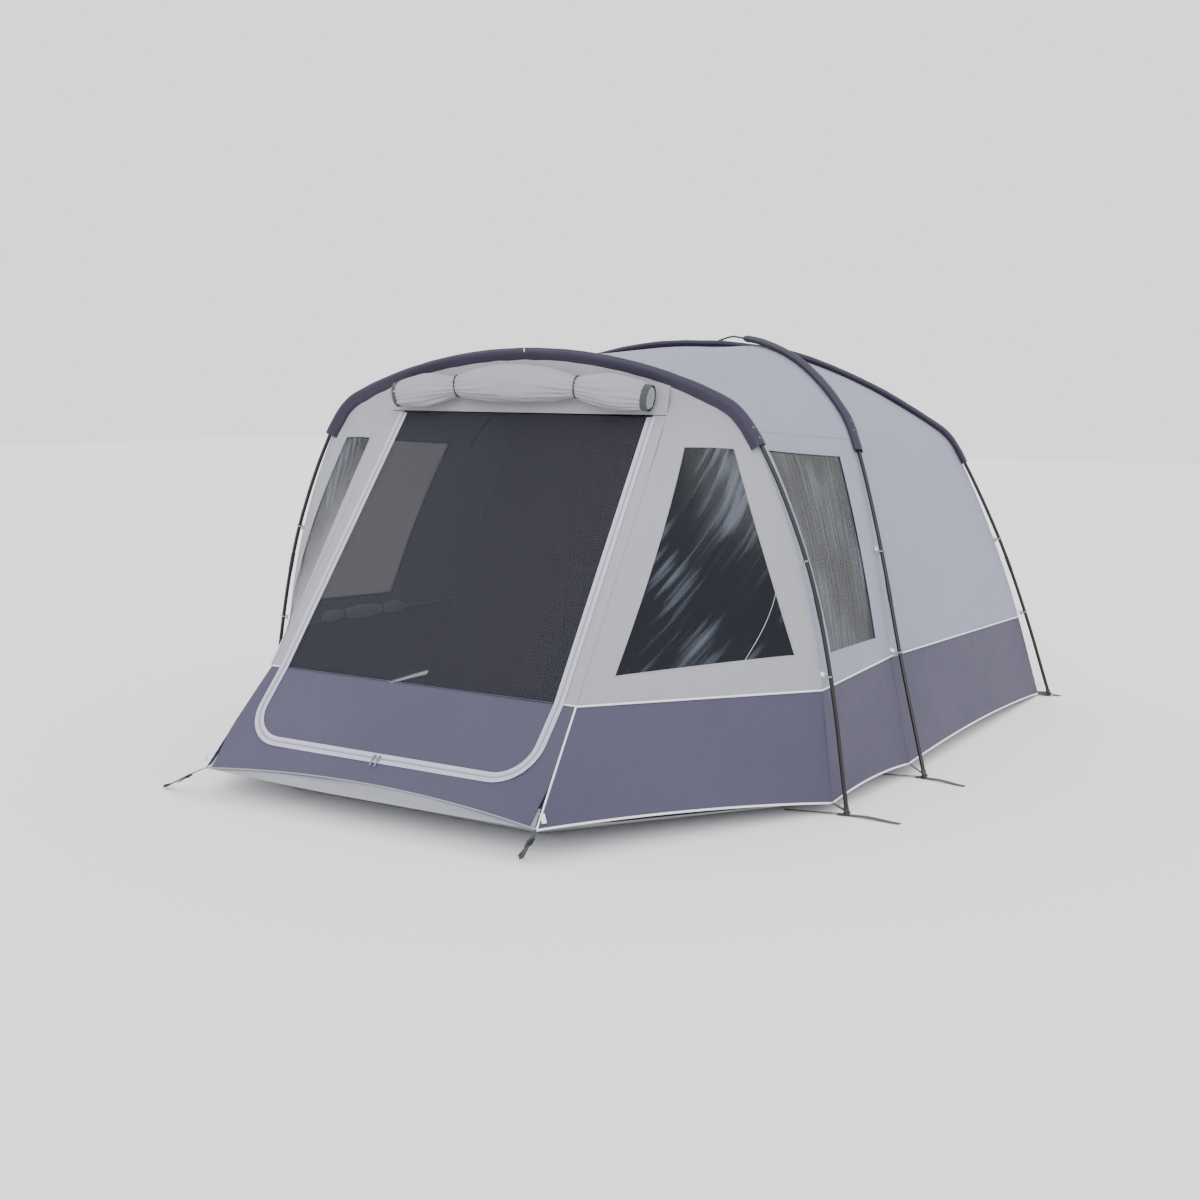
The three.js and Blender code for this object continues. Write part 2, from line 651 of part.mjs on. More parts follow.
// The strip of groundsheet that shows below the scooped front hem, just behind it.
const LIP = { inset: 14, taper: 8, high: 80, proud: -6 };

function makeGround() {
  const rib = (part, s) => TUB.map((row) => vec(s * row[part][0], row.y, row[part][1]));
  const lines = [rib("edge", 1), rib("floor", 1), rib("floor", -1), rib("edge", -1)];
  const across = [0, 1, 2].map((k) => between(lines[k], lines[k + 1], 0));
  const surface = (u, v) => {
    const k = THREE.MathUtils.clamp(Math.floor(v * 3), 0, 2);
    return across[k](u, v * 3 - k);
  };
  piece("groundsheet", sheet(surface, TUB.length - 1, 3, TUB_THICK), SHEETING);
  const half = CORNER.x - LIP.inset;
  const lip = outlineOf([
    [-half, -LOWER_LENGTH],
    [half, -LOWER_LENGTH],
    [half - LIP.taper, -LOWER_LENGTH + LIP.high],
    [-half + LIP.taper, -LOWER_LENGTH + LIP.high],
  ]);
  piece("groundsheet_lip", onSlope(lip, LOWER_SLOPE, CLOTH, LIP.proud), SHEETING);
}

// The bedroom, as [half width, y, z] of its lower and upper edges at the front and the back.
const ROOM_FRONT = { low: [1330, 960, 10], high: [840, 1205, 1560] };
const ROOM_BACK = { low: [1330, 2640, 10], high: [800, 2430, 1400] };
const ROOM_DOOR = { half: 430, low: 60, high: 1420 };
const ROOM_SIDE = { behindFront: 8, inset: 6 };
const ROOM_COVER = { inset: 12, behindFront: 12 };

function makeBedroom() {
  const at = ([x, y, z], s) => vec(s * x, y, z);
  const [w0, y0, z0] = ROOM_FRONT.low;
  const [w1, y1, z1] = ROOM_FRONT.high;
  const slope = Math.atan2(z1 - z0, y1 - y0);
  const height = Math.hypot(z1 - z0, y1 - y0);
  const stand = (outline) => {
    const geometry = new THREE.ExtrudeGeometry(outline, { depth: CLOTH, bevelEnabled: false });
    geometry.rotateX(slope);
    geometry.translate(0, y0, z0);
    return closed(geometry);
  };
  const { half, low, high } = ROOM_DOOR;
  const front = outlineOf([[-w0, 0], [w0, 0], [w1, height], [-w1, height]]);
  const opening = [[-half, low], [half, low], [half, high], [-half, high]];
  front.holes.push(outlineOf(opening));
  piece("bedroom_front", stand(front), CLOTH_INNER);
  const gap = ZIP_GAP;
  const leaf = opening.map(([x, y]) => [x - Math.sign(x) * gap, y + (y === low ? gap : -gap)]);
  piece("bedroom_door", stand(outlineOf(leaf)), CLOTH_INNER);

  for (const [side, s] of [["right", 1], ["left", -1]]) {
    const step = vec(0, ROOM_SIDE.behindFront, 0);
    const inFront = [at(ROOM_FRONT.low, s), at(ROOM_FRONT.high, s)].map((q) => q.add(step));
    const behind = [at(ROOM_BACK.low, s), at(ROOM_BACK.high, s)];
    piece(`bedroom_side_${side}`, sheet(between(inFront, behind, ROOM_SIDE.inset), 1, 1), CLOTH_INNER);
  }
  const within = (row) => [row[0] - ROOM_COVER.inset, row[1], row[2]];
  const overRows = [within(ROOM_FRONT.high), within(ROOM_BACK.high), within(ROOM_BACK.low)];
  overRows[0][1] += ROOM_COVER.behindFront;
  const cover = (s) => overRows.map((row) => at(row, s));
  piece("bedroom_back", sheet(between(cover(1), cover(-1), 0), 2, 1), CLOTH_INNER);
}

// A flat strap under each pole foot, with its tail lying outwards on the ground.
const STRAP_HALF = 12.5;
const STRAP_INWARD = 45;
// Each strap: its pole, its foot's [x, y], its tail's length, and how far the tail is turned in y.
const FEET = [
  ["front_hoop", [HOOP_LEG[0][0], HOOP_Y], 225, 10],
  ["cross_front", [FRONT_LEG[0][0], FRONT_FOOT_Y], 195, -30],
  ["cross_rear", [REAR_LEG[0][0], REAR_FOOT_Y], 60, 40],
];

function makeFootStraps() {
  const half = STRAP_HALF;
  for (const [name, [x, y], tail, aside] of FEET) {
    for (const [side, s] of [["right", 1], ["left", -1]]) {
      const inner = x - STRAP_INWARD;
      const outer = x + tail;
      const outline = outlineOf([
        [s * inner, y - half],
        [s * outer, y + aside - half],
        [s * outer, y + aside + half],
        [s * inner, y + half],
      ]);
      const geometry = new THREE.ExtrudeGeometry(outline, { depth: WEBBING, bevelEnabled: false });
      piece(`${name}_strap_${side}`, closed(geometry), STRAP);
    }
  }
}

// ---------- assembly ----------
makePoles();
makeSleeves();
makeSide("right", (q) => q.clone());
makeSide("left", flip);
makeRoofAndRear();
makePosts();
makeHeader();
makeFrontValance();
makeDoor();
makeSliders();
makeRolledDoor();
makeGround();
makeBedroom();
makeFootStraps();

tent.position.y = -CENTRE_Y;

export default tent;
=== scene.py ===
# %% [markdown]
# # A family tent, one piece at a time
# The tent stands on one square hoop at its door and on two long poles that cross over its roof.
# The CAD gives every part's place. This file makes the cloth, the seams, the windows and the
# fittings that dress it. All sizes are in metres: +X is the tent's right, -Y its door, +Z up.

# %% Load the frame
import math

import bmesh
import bpy
from mathutils import Matrix, Vector, noise


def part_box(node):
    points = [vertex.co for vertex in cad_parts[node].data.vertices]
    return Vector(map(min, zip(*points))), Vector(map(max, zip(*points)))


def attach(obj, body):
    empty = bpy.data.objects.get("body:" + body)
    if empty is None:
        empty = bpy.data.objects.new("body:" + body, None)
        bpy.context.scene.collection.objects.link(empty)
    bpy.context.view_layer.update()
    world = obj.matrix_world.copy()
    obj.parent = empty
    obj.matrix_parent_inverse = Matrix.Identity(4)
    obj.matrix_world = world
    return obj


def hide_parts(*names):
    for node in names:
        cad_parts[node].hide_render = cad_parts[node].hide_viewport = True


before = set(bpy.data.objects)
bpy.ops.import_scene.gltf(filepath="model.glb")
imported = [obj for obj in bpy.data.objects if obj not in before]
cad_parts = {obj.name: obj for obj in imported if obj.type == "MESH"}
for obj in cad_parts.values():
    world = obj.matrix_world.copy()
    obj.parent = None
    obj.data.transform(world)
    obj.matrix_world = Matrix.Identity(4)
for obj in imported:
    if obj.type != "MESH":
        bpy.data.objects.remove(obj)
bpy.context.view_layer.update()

# %% [markdown]
# ## Camera
# A low standing view from the front right shows the door, both right-hand windows and the dome.
# The camera turns by three angles: yaw to the left, pitch down, and a very small roll. They are
# turned into a matrix by hand, because that keeps the order of the turns plain to read.

# %% Camera
CAMERA_AT = Vector((3.641, -6.429, 1.714))
YAW, PITCH, ROLL = (math.radians(a) for a in (30.778, -8.015, 0.416))

forward = Vector((-math.sin(YAW) * math.cos(PITCH), math.cos(YAW) * math.cos(PITCH), math.sin(PITCH)))
level = Vector((math.cos(YAW), math.sin(YAW), 0))
above = level.cross(forward)
right = level * math.cos(ROLL) + above * math.sin(ROLL)
top = above * math.cos(ROLL) - level * math.sin(ROLL)

lens = bpy.data.cameras.new("tent_camera")
lens.lens, lens.sensor_width = 44.97, 36.0
lens.shift_x, lens.shift_y = 0.0086, -0.0036
camera = bpy.data.objects.new("tent_camera", lens)
turn = Matrix((right, top, -forward)).transposed().to_4x4()
camera.matrix_world = Matrix.Translation(CAMERA_AT) @ turn
bpy.context.scene.collection.objects.link(camera)
bpy.context.scene.camera = camera
print("camera", tuple(CAMERA_AT))

# %% [markdown]
# ## Floor and light
# The studio is a white sweep: a pale floor that runs past the view, and a white world that lights
# every side evenly. One broad sun from the front left, soft as a window, gives the cloth its form.

# %% Floor and light
def linear(code):
    """An sRGB hex colour as linear red, green, blue and 1."""
    parts = [int(code[i : i + 2], 16) / 255 for i in (1, 3, 5)]
    return tuple(c / 12.92 if c <= 0.04045 else ((c + 0.055) / 1.055) ** 2.4 for c in parts) + (1.0,)


def add(tree, kind, inputs=None, **settings):
    """One node in a tree: its settings, and each input's value or the socket that feeds it."""
    made = tree.nodes.new(kind)
    for key, value in settings.items():
        setattr(made, key, value)
    for socket, value in (inputs or {}).items():
        if isinstance(value, bpy.types.NodeSocket):
            tree.links.new(value, made.inputs[socket])
        else:
            made.inputs[socket].default_value = value
    return made


def new_material(name, colour, rough, **sockets):
    """A Principled material, with its plain values set on the shader's own sockets."""
    made = bpy.data.materials.new(name)
    made.use_nodes = True
    made.diffuse_color = linear(colour)
    shader = made.node_tree.nodes["Principled BSDF"]
    shader.inputs["Base Color"].default_value = linear(colour)
    shader.inputs["Roughness"].default_value = rough
    for socket, value in sockets.items():
        shader.inputs[socket.replace("_", " ")].default_value = value
    return made, made.node_tree, shader


world = bpy.data.worlds.new("studio")
world.use_nodes = True
world.node_tree.nodes["Background"].inputs["Color"].default_value = linear("#ffffff")
world.node_tree.nodes["Background"].inputs["Strength"].default_value = 1.6
bpy.context.scene.world = world

sun_data = bpy.data.lights.new("window_sun", "SUN")
sun_data.energy, sun_data.angle = 2.0, math.radians(45)
sun = bpy.data.objects.new("window_sun", sun_data)
sun.rotation_euler = (math.radians(56), math.radians(-4), math.radians(20))
bpy.context.scene.collection.objects.link(sun)

bpy.ops.object.select_all(action="DESELECT")
bpy.ops.mesh.primitive_plane_add(size=60, location=(0, 0, -0.001))
floor = bpy.context.object
floor.name = "studio_floor"
floor.data.materials.append(new_material("painted_board", "#f6f6f7", 0.9)[0])
print("studio ready")

# %% [markdown]
# ## Cloth
# The fly is coated polyester: a tight plain weave, dull, with a faint sheen where it turns away.
# Its threads are about 0.3 mm, far too fine to see from four metres, so the weave is drawn at
# 5 mm to keep its grain. Over it lie soft tension creases and a slow drift of colour, because
# cloth that has been folded in a bag is never one even tone. The light fly lets some light through.

# %% Cloth materials
WEAVE_MM = 5.0  # drawn about fifteen times coarser than the real 0.3 mm thread


def cloth(name, colour, shade, rough=0.82, crease=0.7, sheen=0.15, through=0.0):
    """Woven cloth in metres on its own UV map: weave, creases, and a drift between two tones."""
    made, tree, shader = new_material(name, colour, rough, Sheen_Weight=sheen, Sheen_Roughness=0.5)
    shader.inputs["Specular IOR Level"].default_value = 0.14
    shader.inputs["Transmission Weight"].default_value = through
    uv = add(tree, "ShaderNodeUVMap", uv_map="cloth").outputs["UV"]
    place = add(tree, "ShaderNodeTexCoord").outputs["Object"]
    threads = 1000.0 / WEAVE_MM / 2
    waves = [
        add(tree, "ShaderNodeTexWave", {"Vector": uv, "Scale": threads / 3.14}, bands_direction=d)
        for d in ("X", "Y")
    ]
    warp, weft = (wave.outputs["Fac"] for wave in waves)
    weave = add(tree, "ShaderNodeMath", {0: warp, 1: weft}, operation="ADD")
    turned = add(
        tree,
        "ShaderNodeMapping",
        {"Vector": place, "Rotation": (0.5, 0.4, 0.6), "Scale": (9, 2.2, 5)},
    )
    folds = add(tree, "ShaderNodeTexNoise", {"Vector": turned.outputs["Vector"], "Scale": 1.0, "Detail": 3.0})
    crumple = add(tree, "ShaderNodeTexNoise", {"Vector": place, "Scale": 13.0, "Detail": 2.0})
    low = add(tree, "ShaderNodeBump", {"Height": folds.outputs["Fac"], "Strength": crease, "Distance": 0.02})
    mid = add(tree, "ShaderNodeBump", {"Height": crumple.outputs["Fac"], "Strength": 0.14, "Distance": 0.004})
    tree.links.new(low.outputs["Normal"], mid.inputs["Normal"])
    threaded = weave.outputs["Value"]
    fine = add(tree, "ShaderNodeBump", {"Height": threaded, "Strength": 0.12, "Distance": 0.0006})
    tree.links.new(mid.outputs["Normal"], fine.inputs["Normal"])
    tree.links.new(fine.outputs["Normal"], shader.inputs["Normal"])
    drift = add(tree, "ShaderNodeTexNoise", {"Vector": place, "Scale": 1.3, "Detail": 2.0})
    mix = add(tree, "ShaderNodeMix", {"Factor": drift.outputs["Fac"]}, data_type="RGBA")
    mix.inputs["A"].default_value = linear(colour)
    mix.inputs["B"].default_value = linear(shade)
    tree.links.new(mix.outputs["Result"], shader.inputs["Base Color"])
    return made


LIGHT = cloth("coated_polyester_light_grey", "#999dae", "#8d91a2", sheen=0.06, through=0.12)
FRONT = cloth("coated_polyester_warm_grey", "#a2a2aa", "#97979e", sheen=0.06, through=0.12)
DARK = cloth("coated_polyester_slate", "#504d60", "#434154", rough=0.65, crease=1.0, sheen=0.04)
SLEEVE = cloth("pole_sleeve_polyester", "#3d3a4a", "#33303f", rough=0.75, sheen=0.04)
BEDROOM = cloth("breathable_polyester_charcoal", "#33343e", "#292a34", rough=0.85, crease=0.3, sheen=0.04)
SHEETING = cloth("laminated_polyethylene_sheet", "#8f9198", "#83858d", rough=0.5, sheen=0.04)
WEBBING = cloth("woven_polypropylene_webbing", "#4a4d50", "#3b3e41", rough=0.75, crease=0.2)
PIPING = cloth("cotton_piping_white", "#ecebf2", "#dcdce6", crease=0.1)
TAPE = cloth("zip_tape_lilac_grey", "#b7b5c6", "#a5a3b6", crease=0.15)
print("cloths", len(bpy.data.materials))

# %% [markdown]
# ## Clear, netted, metal and moulded finishes
# The windows are soft PVC film: smooth, glossy, tinted by the dim room behind. The door's net is
# knitted polyester whose 1 mm holes are too small to draw at this distance, so the net lets a
# share of the light through all over. Poles are powder-coated steel, and wrapped fibreglass over
# the roof. Hooks and buckles are moulded nylon, and the eyelets rolled brass.

# %% Hard and clear materials
def speckled(name, colour, rough, grit_mm, strength, **sockets):
    """A hard finish whose roughness and bump come from a grain of a real size."""
    made, tree, shader = new_material(name, colour, rough, **sockets)
    place = add(tree, "ShaderNodeTexCoord").outputs["Object"]
    grain = add(tree, "ShaderNodeTexNoise", {"Vector": place, "Scale": 1000 / grit_mm, "Detail": 2.0})
    spread = add(
        tree,
        "ShaderNodeMapRange",
        {"Value": grain.outputs["Fac"], "To Min": rough * 0.75, "To Max": min(1.0, rough * 1.3)},
    )
    tree.links.new(spread.outputs["Result"], shader.inputs["Roughness"])
    bump = add(tree, "ShaderNodeBump", {"Height": grain.outputs["Fac"], "Distance": 0.0005})
    bump.inputs["Strength"].default_value = strength
    tree.links.new(bump.outputs["Normal"], shader.inputs["Normal"])
    return made


STEEL = speckled("powder_coated_steel", "#0c0c0f", 0.45, 3, 0.1)
FIBREGLASS = speckled("wrapped_fibreglass", "#16161a", 0.45, 4, 0.12)
NYLON = speckled("moulded_nylon_grey", "#8b8c95", 0.5, 4, 0.1)
NYLON_DARK = speckled("moulded_nylon_black", "#26272a", 0.45, 4, 0.1)
BRASS = speckled("rolled_brass", "#b08d57", 0.3, 3, 0.05, Metallic=1.0)
ZINC = speckled("painted_zinc", "#85858f", 0.35, 3, 0.05, Metallic=0.8)


def film(name, lean, share):
    """PVC film. Each long crease is drawn as a paler streak in its colour: a painted highlight, where a
    crease would catch the light.
    lean turns the creases from upright, and share is how much of the film they cover."""
    # the film's dark base colour is painted shade of the dim room behind it
    made, tree, shader = new_material(name, "#161a22", 0.22, Alpha=0.62)
    shader.inputs["Specular IOR Level"].default_value = 0.25
    uv = add(tree, "ShaderNodeUVMap", uv_map="cloth").outputs["UV"]
    turned = add(tree, "ShaderNodeMapping", {"Vector": uv, "Rotation": (0, 0, lean)})
    # creases are about 30 mm apart and half a metre long
    drawn_out = add(tree, "ShaderNodeMapping", {"Vector": turned.outputs["Vector"], "Scale": (1.6, 30, 1)})
    stretched = drawn_out.outputs["Vector"]
    creases = add(tree, "ShaderNodeTexNoise", {"Vector": stretched, "Scale": 1.0, "Detail": 3.0})
    patches = add(tree, "ShaderNodeTexNoise", {"Vector": uv, "Scale": 2.6, "Detail": 1.0})
    both = add(
        tree,
        "ShaderNodeMath",
        {0: creases.outputs["Fac"], 1: patches.outputs["Fac"]},
        operation="MULTIPLY",
    )
    pale = add(
        tree,
        "ShaderNodeMapRange",
        {"Value": both.outputs["Value"], "From Min": 0.32 - share, "From Max": 0.38, "To Max": 1.0},
    )
    # the creases are mixed towards a paler grey: painted highlights, not a colour of the film itself
    mix = add(tree, "ShaderNodeMix", {"Factor": pale.outputs["Result"]}, data_type="RGBA")
    mix.inputs["A"].default_value = linear("#161a22")
    mix.inputs["B"].default_value = linear("#555b67")
    tree.links.new(mix.outputs["Result"], shader.inputs["Base Color"])
    bump = add(tree, "ShaderNodeBump", {"Height": creases.outputs["Fac"], "Strength": 0.4, "Distance": 0.01})
    tree.links.new(bump.outputs["Normal"], shader.inputs["Normal"])
    return made


def net():
    """Knitted net: rows of small holes, drawn as a faint ladder over an even tint."""
    made, tree, shader = new_material("knitted_insect_net", "#2a2a33", 0.9, Alpha=0.5)
    uv = add(tree, "ShaderNodeUVMap", uv_map="cloth").outputs["UV"]
    rows = add(tree, "ShaderNodeTexWave", {"Vector": uv, "Scale": 60.0}, bands_direction="Y")
    bump = add(tree, "ShaderNodeBump", {"Height": rows.outputs["Fac"], "Strength": 0.15, "Distance": 0.001})
    tree.links.new(bump.outputs["Normal"], shader.inputs["Normal"])
    return made


PVC_WING = film("clear_pvc_film_slanting_creases_painted_highlights", math.radians(-42), 0.07)
PVC_BAY = film("clear_pvc_film_upright_creases_painted_highlights", math.radians(-6), 0.10)
NET = net()
print("materials", sorted(m.name for m in bpy.data.materials)[:4], "...")

# %% [markdown]
# ## Seam lines
# Cloth hangs from seams, so the seams come first. Each list runs up a pole: the hem, the mud line
# where dark cloth meets light, the wall up to the sleeve's end, and the roof up to the middle.
# They are the CAD's own seam points, joined by a Catmull-Rom curve, smooth as taut cloth is.

# %% Seam lines
HOOP = [(1.474, -0.861, 0.046), (1.416, -0.861, 0.504), (1.357, -0.861, 0.821), (1.26, -0.861, 1.136)]
HOOP += [(1.12, -0.861, 1.453), (1.013, -0.861, 1.598), (0.905, -0.861, 1.661), (0.783, -0.861, 1.707)]
HOOP += [(0.658, -0.861, 1.747), (0.531, -0.861, 1.779), (0.402, -0.861, 1.805), (0.273, -0.861, 1.823)]
HOOP += [(0.142, -0.861, 1.835), (0.011, -0.861, 1.839)]
FORE = [(1.539, -0.12, 0.057), (1.391, 0.016, 0.507), (1.305, 0.096, 0.804), (1.211, 0.18, 1.098)]
FORE += [(1.1, 0.277, 1.393), (1.023, 0.34, 1.534), (0.92, 0.424, 1.636), (0.807, 0.516, 1.723)]
FORE += [(0.687, 0.614, 1.795), (0.563, 0.715, 1.852), (0.434, 0.819, 1.893), (0.304, 0.925, 1.918)]
FORE += [(0.172, 1.033, 1.927), (0.039, 1.141, 1.925)]
REAR = [(1.574, 1.968, 0.015), (1.459, 1.91, 0.448), (1.373, 1.866, 0.732), (1.27, 1.814, 1.017)]
REAR += [(1.15, 1.753, 1.302), (1.079, 1.718, 1.428), (0.968, 1.662, 1.522), (0.845, 1.6, 1.607)]
REAR += [(0.72, 1.536, 1.685), (0.59, 1.471, 1.754), (0.457, 1.404, 1.816), (0.321, 1.335, 1.867)]
REAR += [(0.181, 1.265, 1.898), (0.038, 1.192, 1.918)]
SEAM = [(0.765, -1.694, 0.512), (0.748, -1.43, 0.871), (0.732, -1.166, 1.229), (0.715, -0.902, 1.588)]
SEAM += [(0.706, -0.874, 1.722)]
CORNER = (0.817, -2.048, 0.131)
SHOULDER = 4.45  # the roof's seam, between the sleeve's end and the elbow


def on(line, s):
    """The point of a line at station s, on a smooth curve through its points."""
    k = min(max(int(s), 0), len(line) - 2)
    f = s - k
    a, b = Vector(line[k]), Vector(line[k + 1])
    before = Vector(line[k - 1]) if k > 0 else a * 2 - b
    after = Vector(line[k + 2]) if k + 2 < len(line) else b * 2 - a
    bend = (before * 2 - a * 5 + b * 4 - after) * f * f + (a * 3 - before - b * 3 + after) * f**3
    return a + ((b - before) * f + bend) * 0.5


def mirrored(points):
    return [Vector((-p[0], p[1], p[2])) for p in points]


def part_of(line, start, stop, count):
    """That many points of a line, evenly stepped from one station to another."""
    return [on(line, start + (stop - start) * i / (count - 1)) for i in range(count)]


MIDST = Vector((0, 0.3, 0.7))


def ruled(low_line, high_line, sag=0.0, hem=0.0):
    """The surface between two lines. Its middle sags towards the room, and its foot lifts by hem."""

    def surface(u, v):
        a = on(low_line, u * (len(low_line) - 1))
        b = on(high_line, u * (len(high_line) - 1))
        p = a.lerp(b, v)
        inward = Vector((0, max(-0.6, min(p.y, 1.1)), 0.7)) - p
        p += inward.normalized() * sag * 4 * v * (1 - v) * math.sin(math.pi * min(max(u, 0), 1)) ** 0.5
        p.z += hem * 4 * v * (1 - v) * (1 - u) ** 2
        return p

    return surface


print("seams", len(HOOP), len(FORE), len(REAR))

# %% [markdown]
# ## Laying cloth
# A panel is a fine net of quads laid on its surface, with a UV map in metres for the weave. Small
# ripples are pushed in here, as real shape, since they change the outline. Solidify then gives it
# the thickness of cloth. Each panel is declared with the size it was cut to:
# its seams' lengths, and the area of the CAD panel it stands for.

# %% Laying cloth
RIPPLE = 0.0022


def ripple(p, size=RIPPLE):
    """How far the cloth stands off its smooth surface at a point."""
    return size * (noise.noise(p * 3.1) + 0.45 * noise.noise(p * 9.0 + Vector((7, 3, 1))))


def finish_piece(made, body, material, stands_for=()):
    """The last steps for every piece: its finish, the body it moves with, and what it stands for."""
    made.data.materials.clear()
    made.data.materials.append(material)
    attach(made, body)
    if stands_for:
        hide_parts(*stands_for)
    return made


def whole(u_steps, v_steps):
    """One patch that covers a panel from edge to edge."""
    return [(((0, 0), (0, 1), (1, 1), (1, 0)), u_steps, v_steps)]


def around(hole, across, along):
    """Four patches round a window, from the panel's edges in to the window's."""
    rim = [(0, 0), (0, 1), (1, 1), (1, 0)]
    patches = []
    for i in range(4):
        j = (i + 1) % 4
        patches.append(((rim[i], hole[i], hole[j], rim[j]), across, along))
    return patches


def placed(name, mesh):
    """Turns a finished bmesh into an object in the scene."""
    data = bpy.data.meshes.new(name)
    mesh.to_mesh(data)
    mesh.free()
    made = bpy.data.objects.new(name, data)
    bpy.context.scene.collection.objects.link(made)
    return made


def pick(made):
    """Makes one object the only one picked, for the operators that work on what is picked."""
    bpy.ops.object.select_all(action="DESELECT")
    bpy.context.view_layer.objects.active = made
    made.select_set(True)


def lay(name, surface, patches, size, thick=0.001, wave=RIPPLE):
    """A cloth mesh over patches of a surface. size is the panel's length and width, for the UVs."""
    mesh = bmesh.new()
    uv_layer = mesh.loops.layers.uv.new("cloth")
    spot = {}
    for corners, m, n in patches:
        a, b, c, d = (Vector(q) for q in corners)
        rows = []
        for i in range(m + 1):
            for j in range(n + 1):
                q = a.lerp(b, i / m).lerp(d.lerp(c, i / m), j / n)
                step = 1e-3
                du = surface(q[0] + step, q[1]) - surface(q[0] - step, q[1])
                dv = surface(q[0], q[1] + step) - surface(q[0], q[1] - step)
                p = surface(q[0], q[1])
                p += du.cross(dv).normalized() * ripple(p, wave)
                vert = mesh.verts.new(p)
                spot[vert] = q
                rows.append(vert)
        for i in range(m):
            for j in range(n):
                k = i * (n + 1) + j
                mesh.faces.new((rows[k], rows[k + n + 1], rows[k + n + 2], rows[k + 1]))
    for face in mesh.faces:
        for loop in face.loops:
            q = spot[loop.vert]
            loop[uv_layer].uv = (q[0] * size[0], q[1] * size[1])
    bmesh.ops.remove_doubles(mesh, verts=mesh.verts, dist=1e-4)
    bmesh.ops.recalc_face_normals(mesh, faces=mesh.faces)
    made = placed(name, mesh)
    thicken(made, thick)
    return made


def thicken(made, thick):
    """Gives an open sheet its thickness, then shades it smooth."""
    pick(made)
    wall = made.modifiers.new("thickness", "SOLIDIFY")
    wall.thickness, wall.offset = thick, 0.0
    bpy.ops.object.modifier_apply(modifier=wall.name)
    bpy.ops.object.shade_smooth_by_angle(angle=math.radians(50))


def seam_length(surface, start, stop, count=40):
    """The length along a smooth surface between two of its corners."""
    a, b = Vector(start), Vector(stop)
    points = [surface(*a.lerp(b, i / count)) for i in range(count + 1)]
    return sum((q - p).length for p, q in zip(points, points[1:]))


def cut_size(surface, corners=((0, 0), (0, 1), (1, 1), (1, 0))):
    """Width and length of the rectangle a panel is cut from: its longest seams, or its middle."""
    a, b, c, d = (Vector(q) for q in corners)
    widths = [seam_length(surface, a.lerp(d, f), b.lerp(c, f)) for f in (0, 0.5, 1)]
    lengths = [seam_length(surface, a.lerp(b, f), d.lerp(c, f)) for f in (0, 0.5, 1)]
    return max(widths), max(lengths)


def strip_size(surface, hole):
    """A window's border is cut as strips: the widest strip, and the way round its middle."""
    rim = [Vector(q) for q in ((0, 0), (0, 1), (1, 1), (1, 0))]
    inner = [Vector(q) for q in hole]
    widths, way = [], 0.0
    for i in range(4):
        j = (i + 1) % 4
        way += seam_length(surface, (rim[i] + inner[i]) / 2, (rim[j] + inner[j]) / 2)
        for f in (0, 0.5, 1):
            widths.append(seam_length(surface, rim[i].lerp(rim[j], f), inner[i].lerp(inner[j], f)))
    return max(widths), way


def cad_area(node):
    """The area of the sheet that a CAD panel stands for: half of its thin solid's surface."""
    return sum(face.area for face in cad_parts[node].data.polygons) / 2


def declare_cloth(made, size, node=None):
    area = cad_area(node) if node else None
    drawn = sum(face.area for face in made.data.polygons) / 2
    cut = area or size[0] * size[1]
    print(f"FLAT {made.name} {size[0]:.3f} x {size[1]:.3f} m, {cut:.3f} m2, drawn {drawn / cut:.2f}")


print("ready to lay cloth")

# %% [markdown]
# ## The roof and the dome
# The front roof runs from one shoulder, over the top, to the other, between the hoop and the
# front halves of the crossed poles. Two sides and a rear panel fill the dome. Taut cloth between
# two curved poles is pulled in a little at its middle, so each surface sags by a centimetre or two.


def arch(rib):
    half = part_of(rib, SHOULDER, len(rib) - 1, 16)
    return half + mirrored(half)[::-1]


roof_surface = ruled(arch(HOOP), arch(FORE), sag=0.014)
roof = lay("fly_front_roof", roof_surface, whole(96, 40), (3.0, 1.7))
finish_piece(roof, "tent", LIGHT, ["front_roof"])
declare_cloth(roof, cut_size(roof_surface), "front_roof")


def dome_line(rib):
    return part_of(rib, 1.004, len(rib) - 1, 24)


for side, place in (("right", list), ("left", mirrored)):
    surface = ruled(place(dome_line(FORE)), place(dome_line(REAR)), sag=0.022)
    panel = lay(f"fly_dome_{side}", surface, whole(70, 56), (2.3, 1.9))
    finish_piece(panel, "tent", LIGHT, [f"dome_side_{side}"])
    declare_cloth(panel, cut_size(surface), f"dome_side_{side}")

rear_surface = ruled(dome_line(REAR), mirrored(dome_line(REAR)), sag=0.03)
rear = lay("fly_rear_panel", rear_surface, whole(60, 72), (2.3, 2.6))
finish_piece(rear, "tent", LIGHT, ["rear_panel"])
declare_cloth(rear, cut_size(rear_surface), "rear_panel")

# %% [markdown]
# ## Walls with windows
# Each side has a bay wall behind the hoop and a wing wall in front of it, and each holds a pane of
# film sewn in behind the cloth. The wall is four patches round the window, so the cloth bends
# round the opening as one sheet. The pane's corner pulls make the long creases film is known for.

# %% Walls and windows
BAY_HOLE = [(0.104, 0.171), (0.082, 0.826), (0.868, 0.809), (0.882, 0.082)]
WING_HOLE = [(0.066, 0.12), (0.103, 0.896), (0.718, 0.716), (0.672, 0.23)]
SEWN = 0.012  # how far a pane runs in behind its wall, as a share of the wall


def grown(hole, by):
    mid = sum((Vector(q) for q in hole), Vector((0, 0))) / 4
    return [tuple(Vector(q) + (Vector(q) - mid).normalized() * by) for q in hole]


def behind(surface, depth):
    """The same surface, moved towards the room."""

    def moved(u, v):
        p = surface(u, v)
        return p + (Vector((0, max(-0.8, min(p.y, 0.5)), 0.8)) - p).normalized() * depth

    return moved


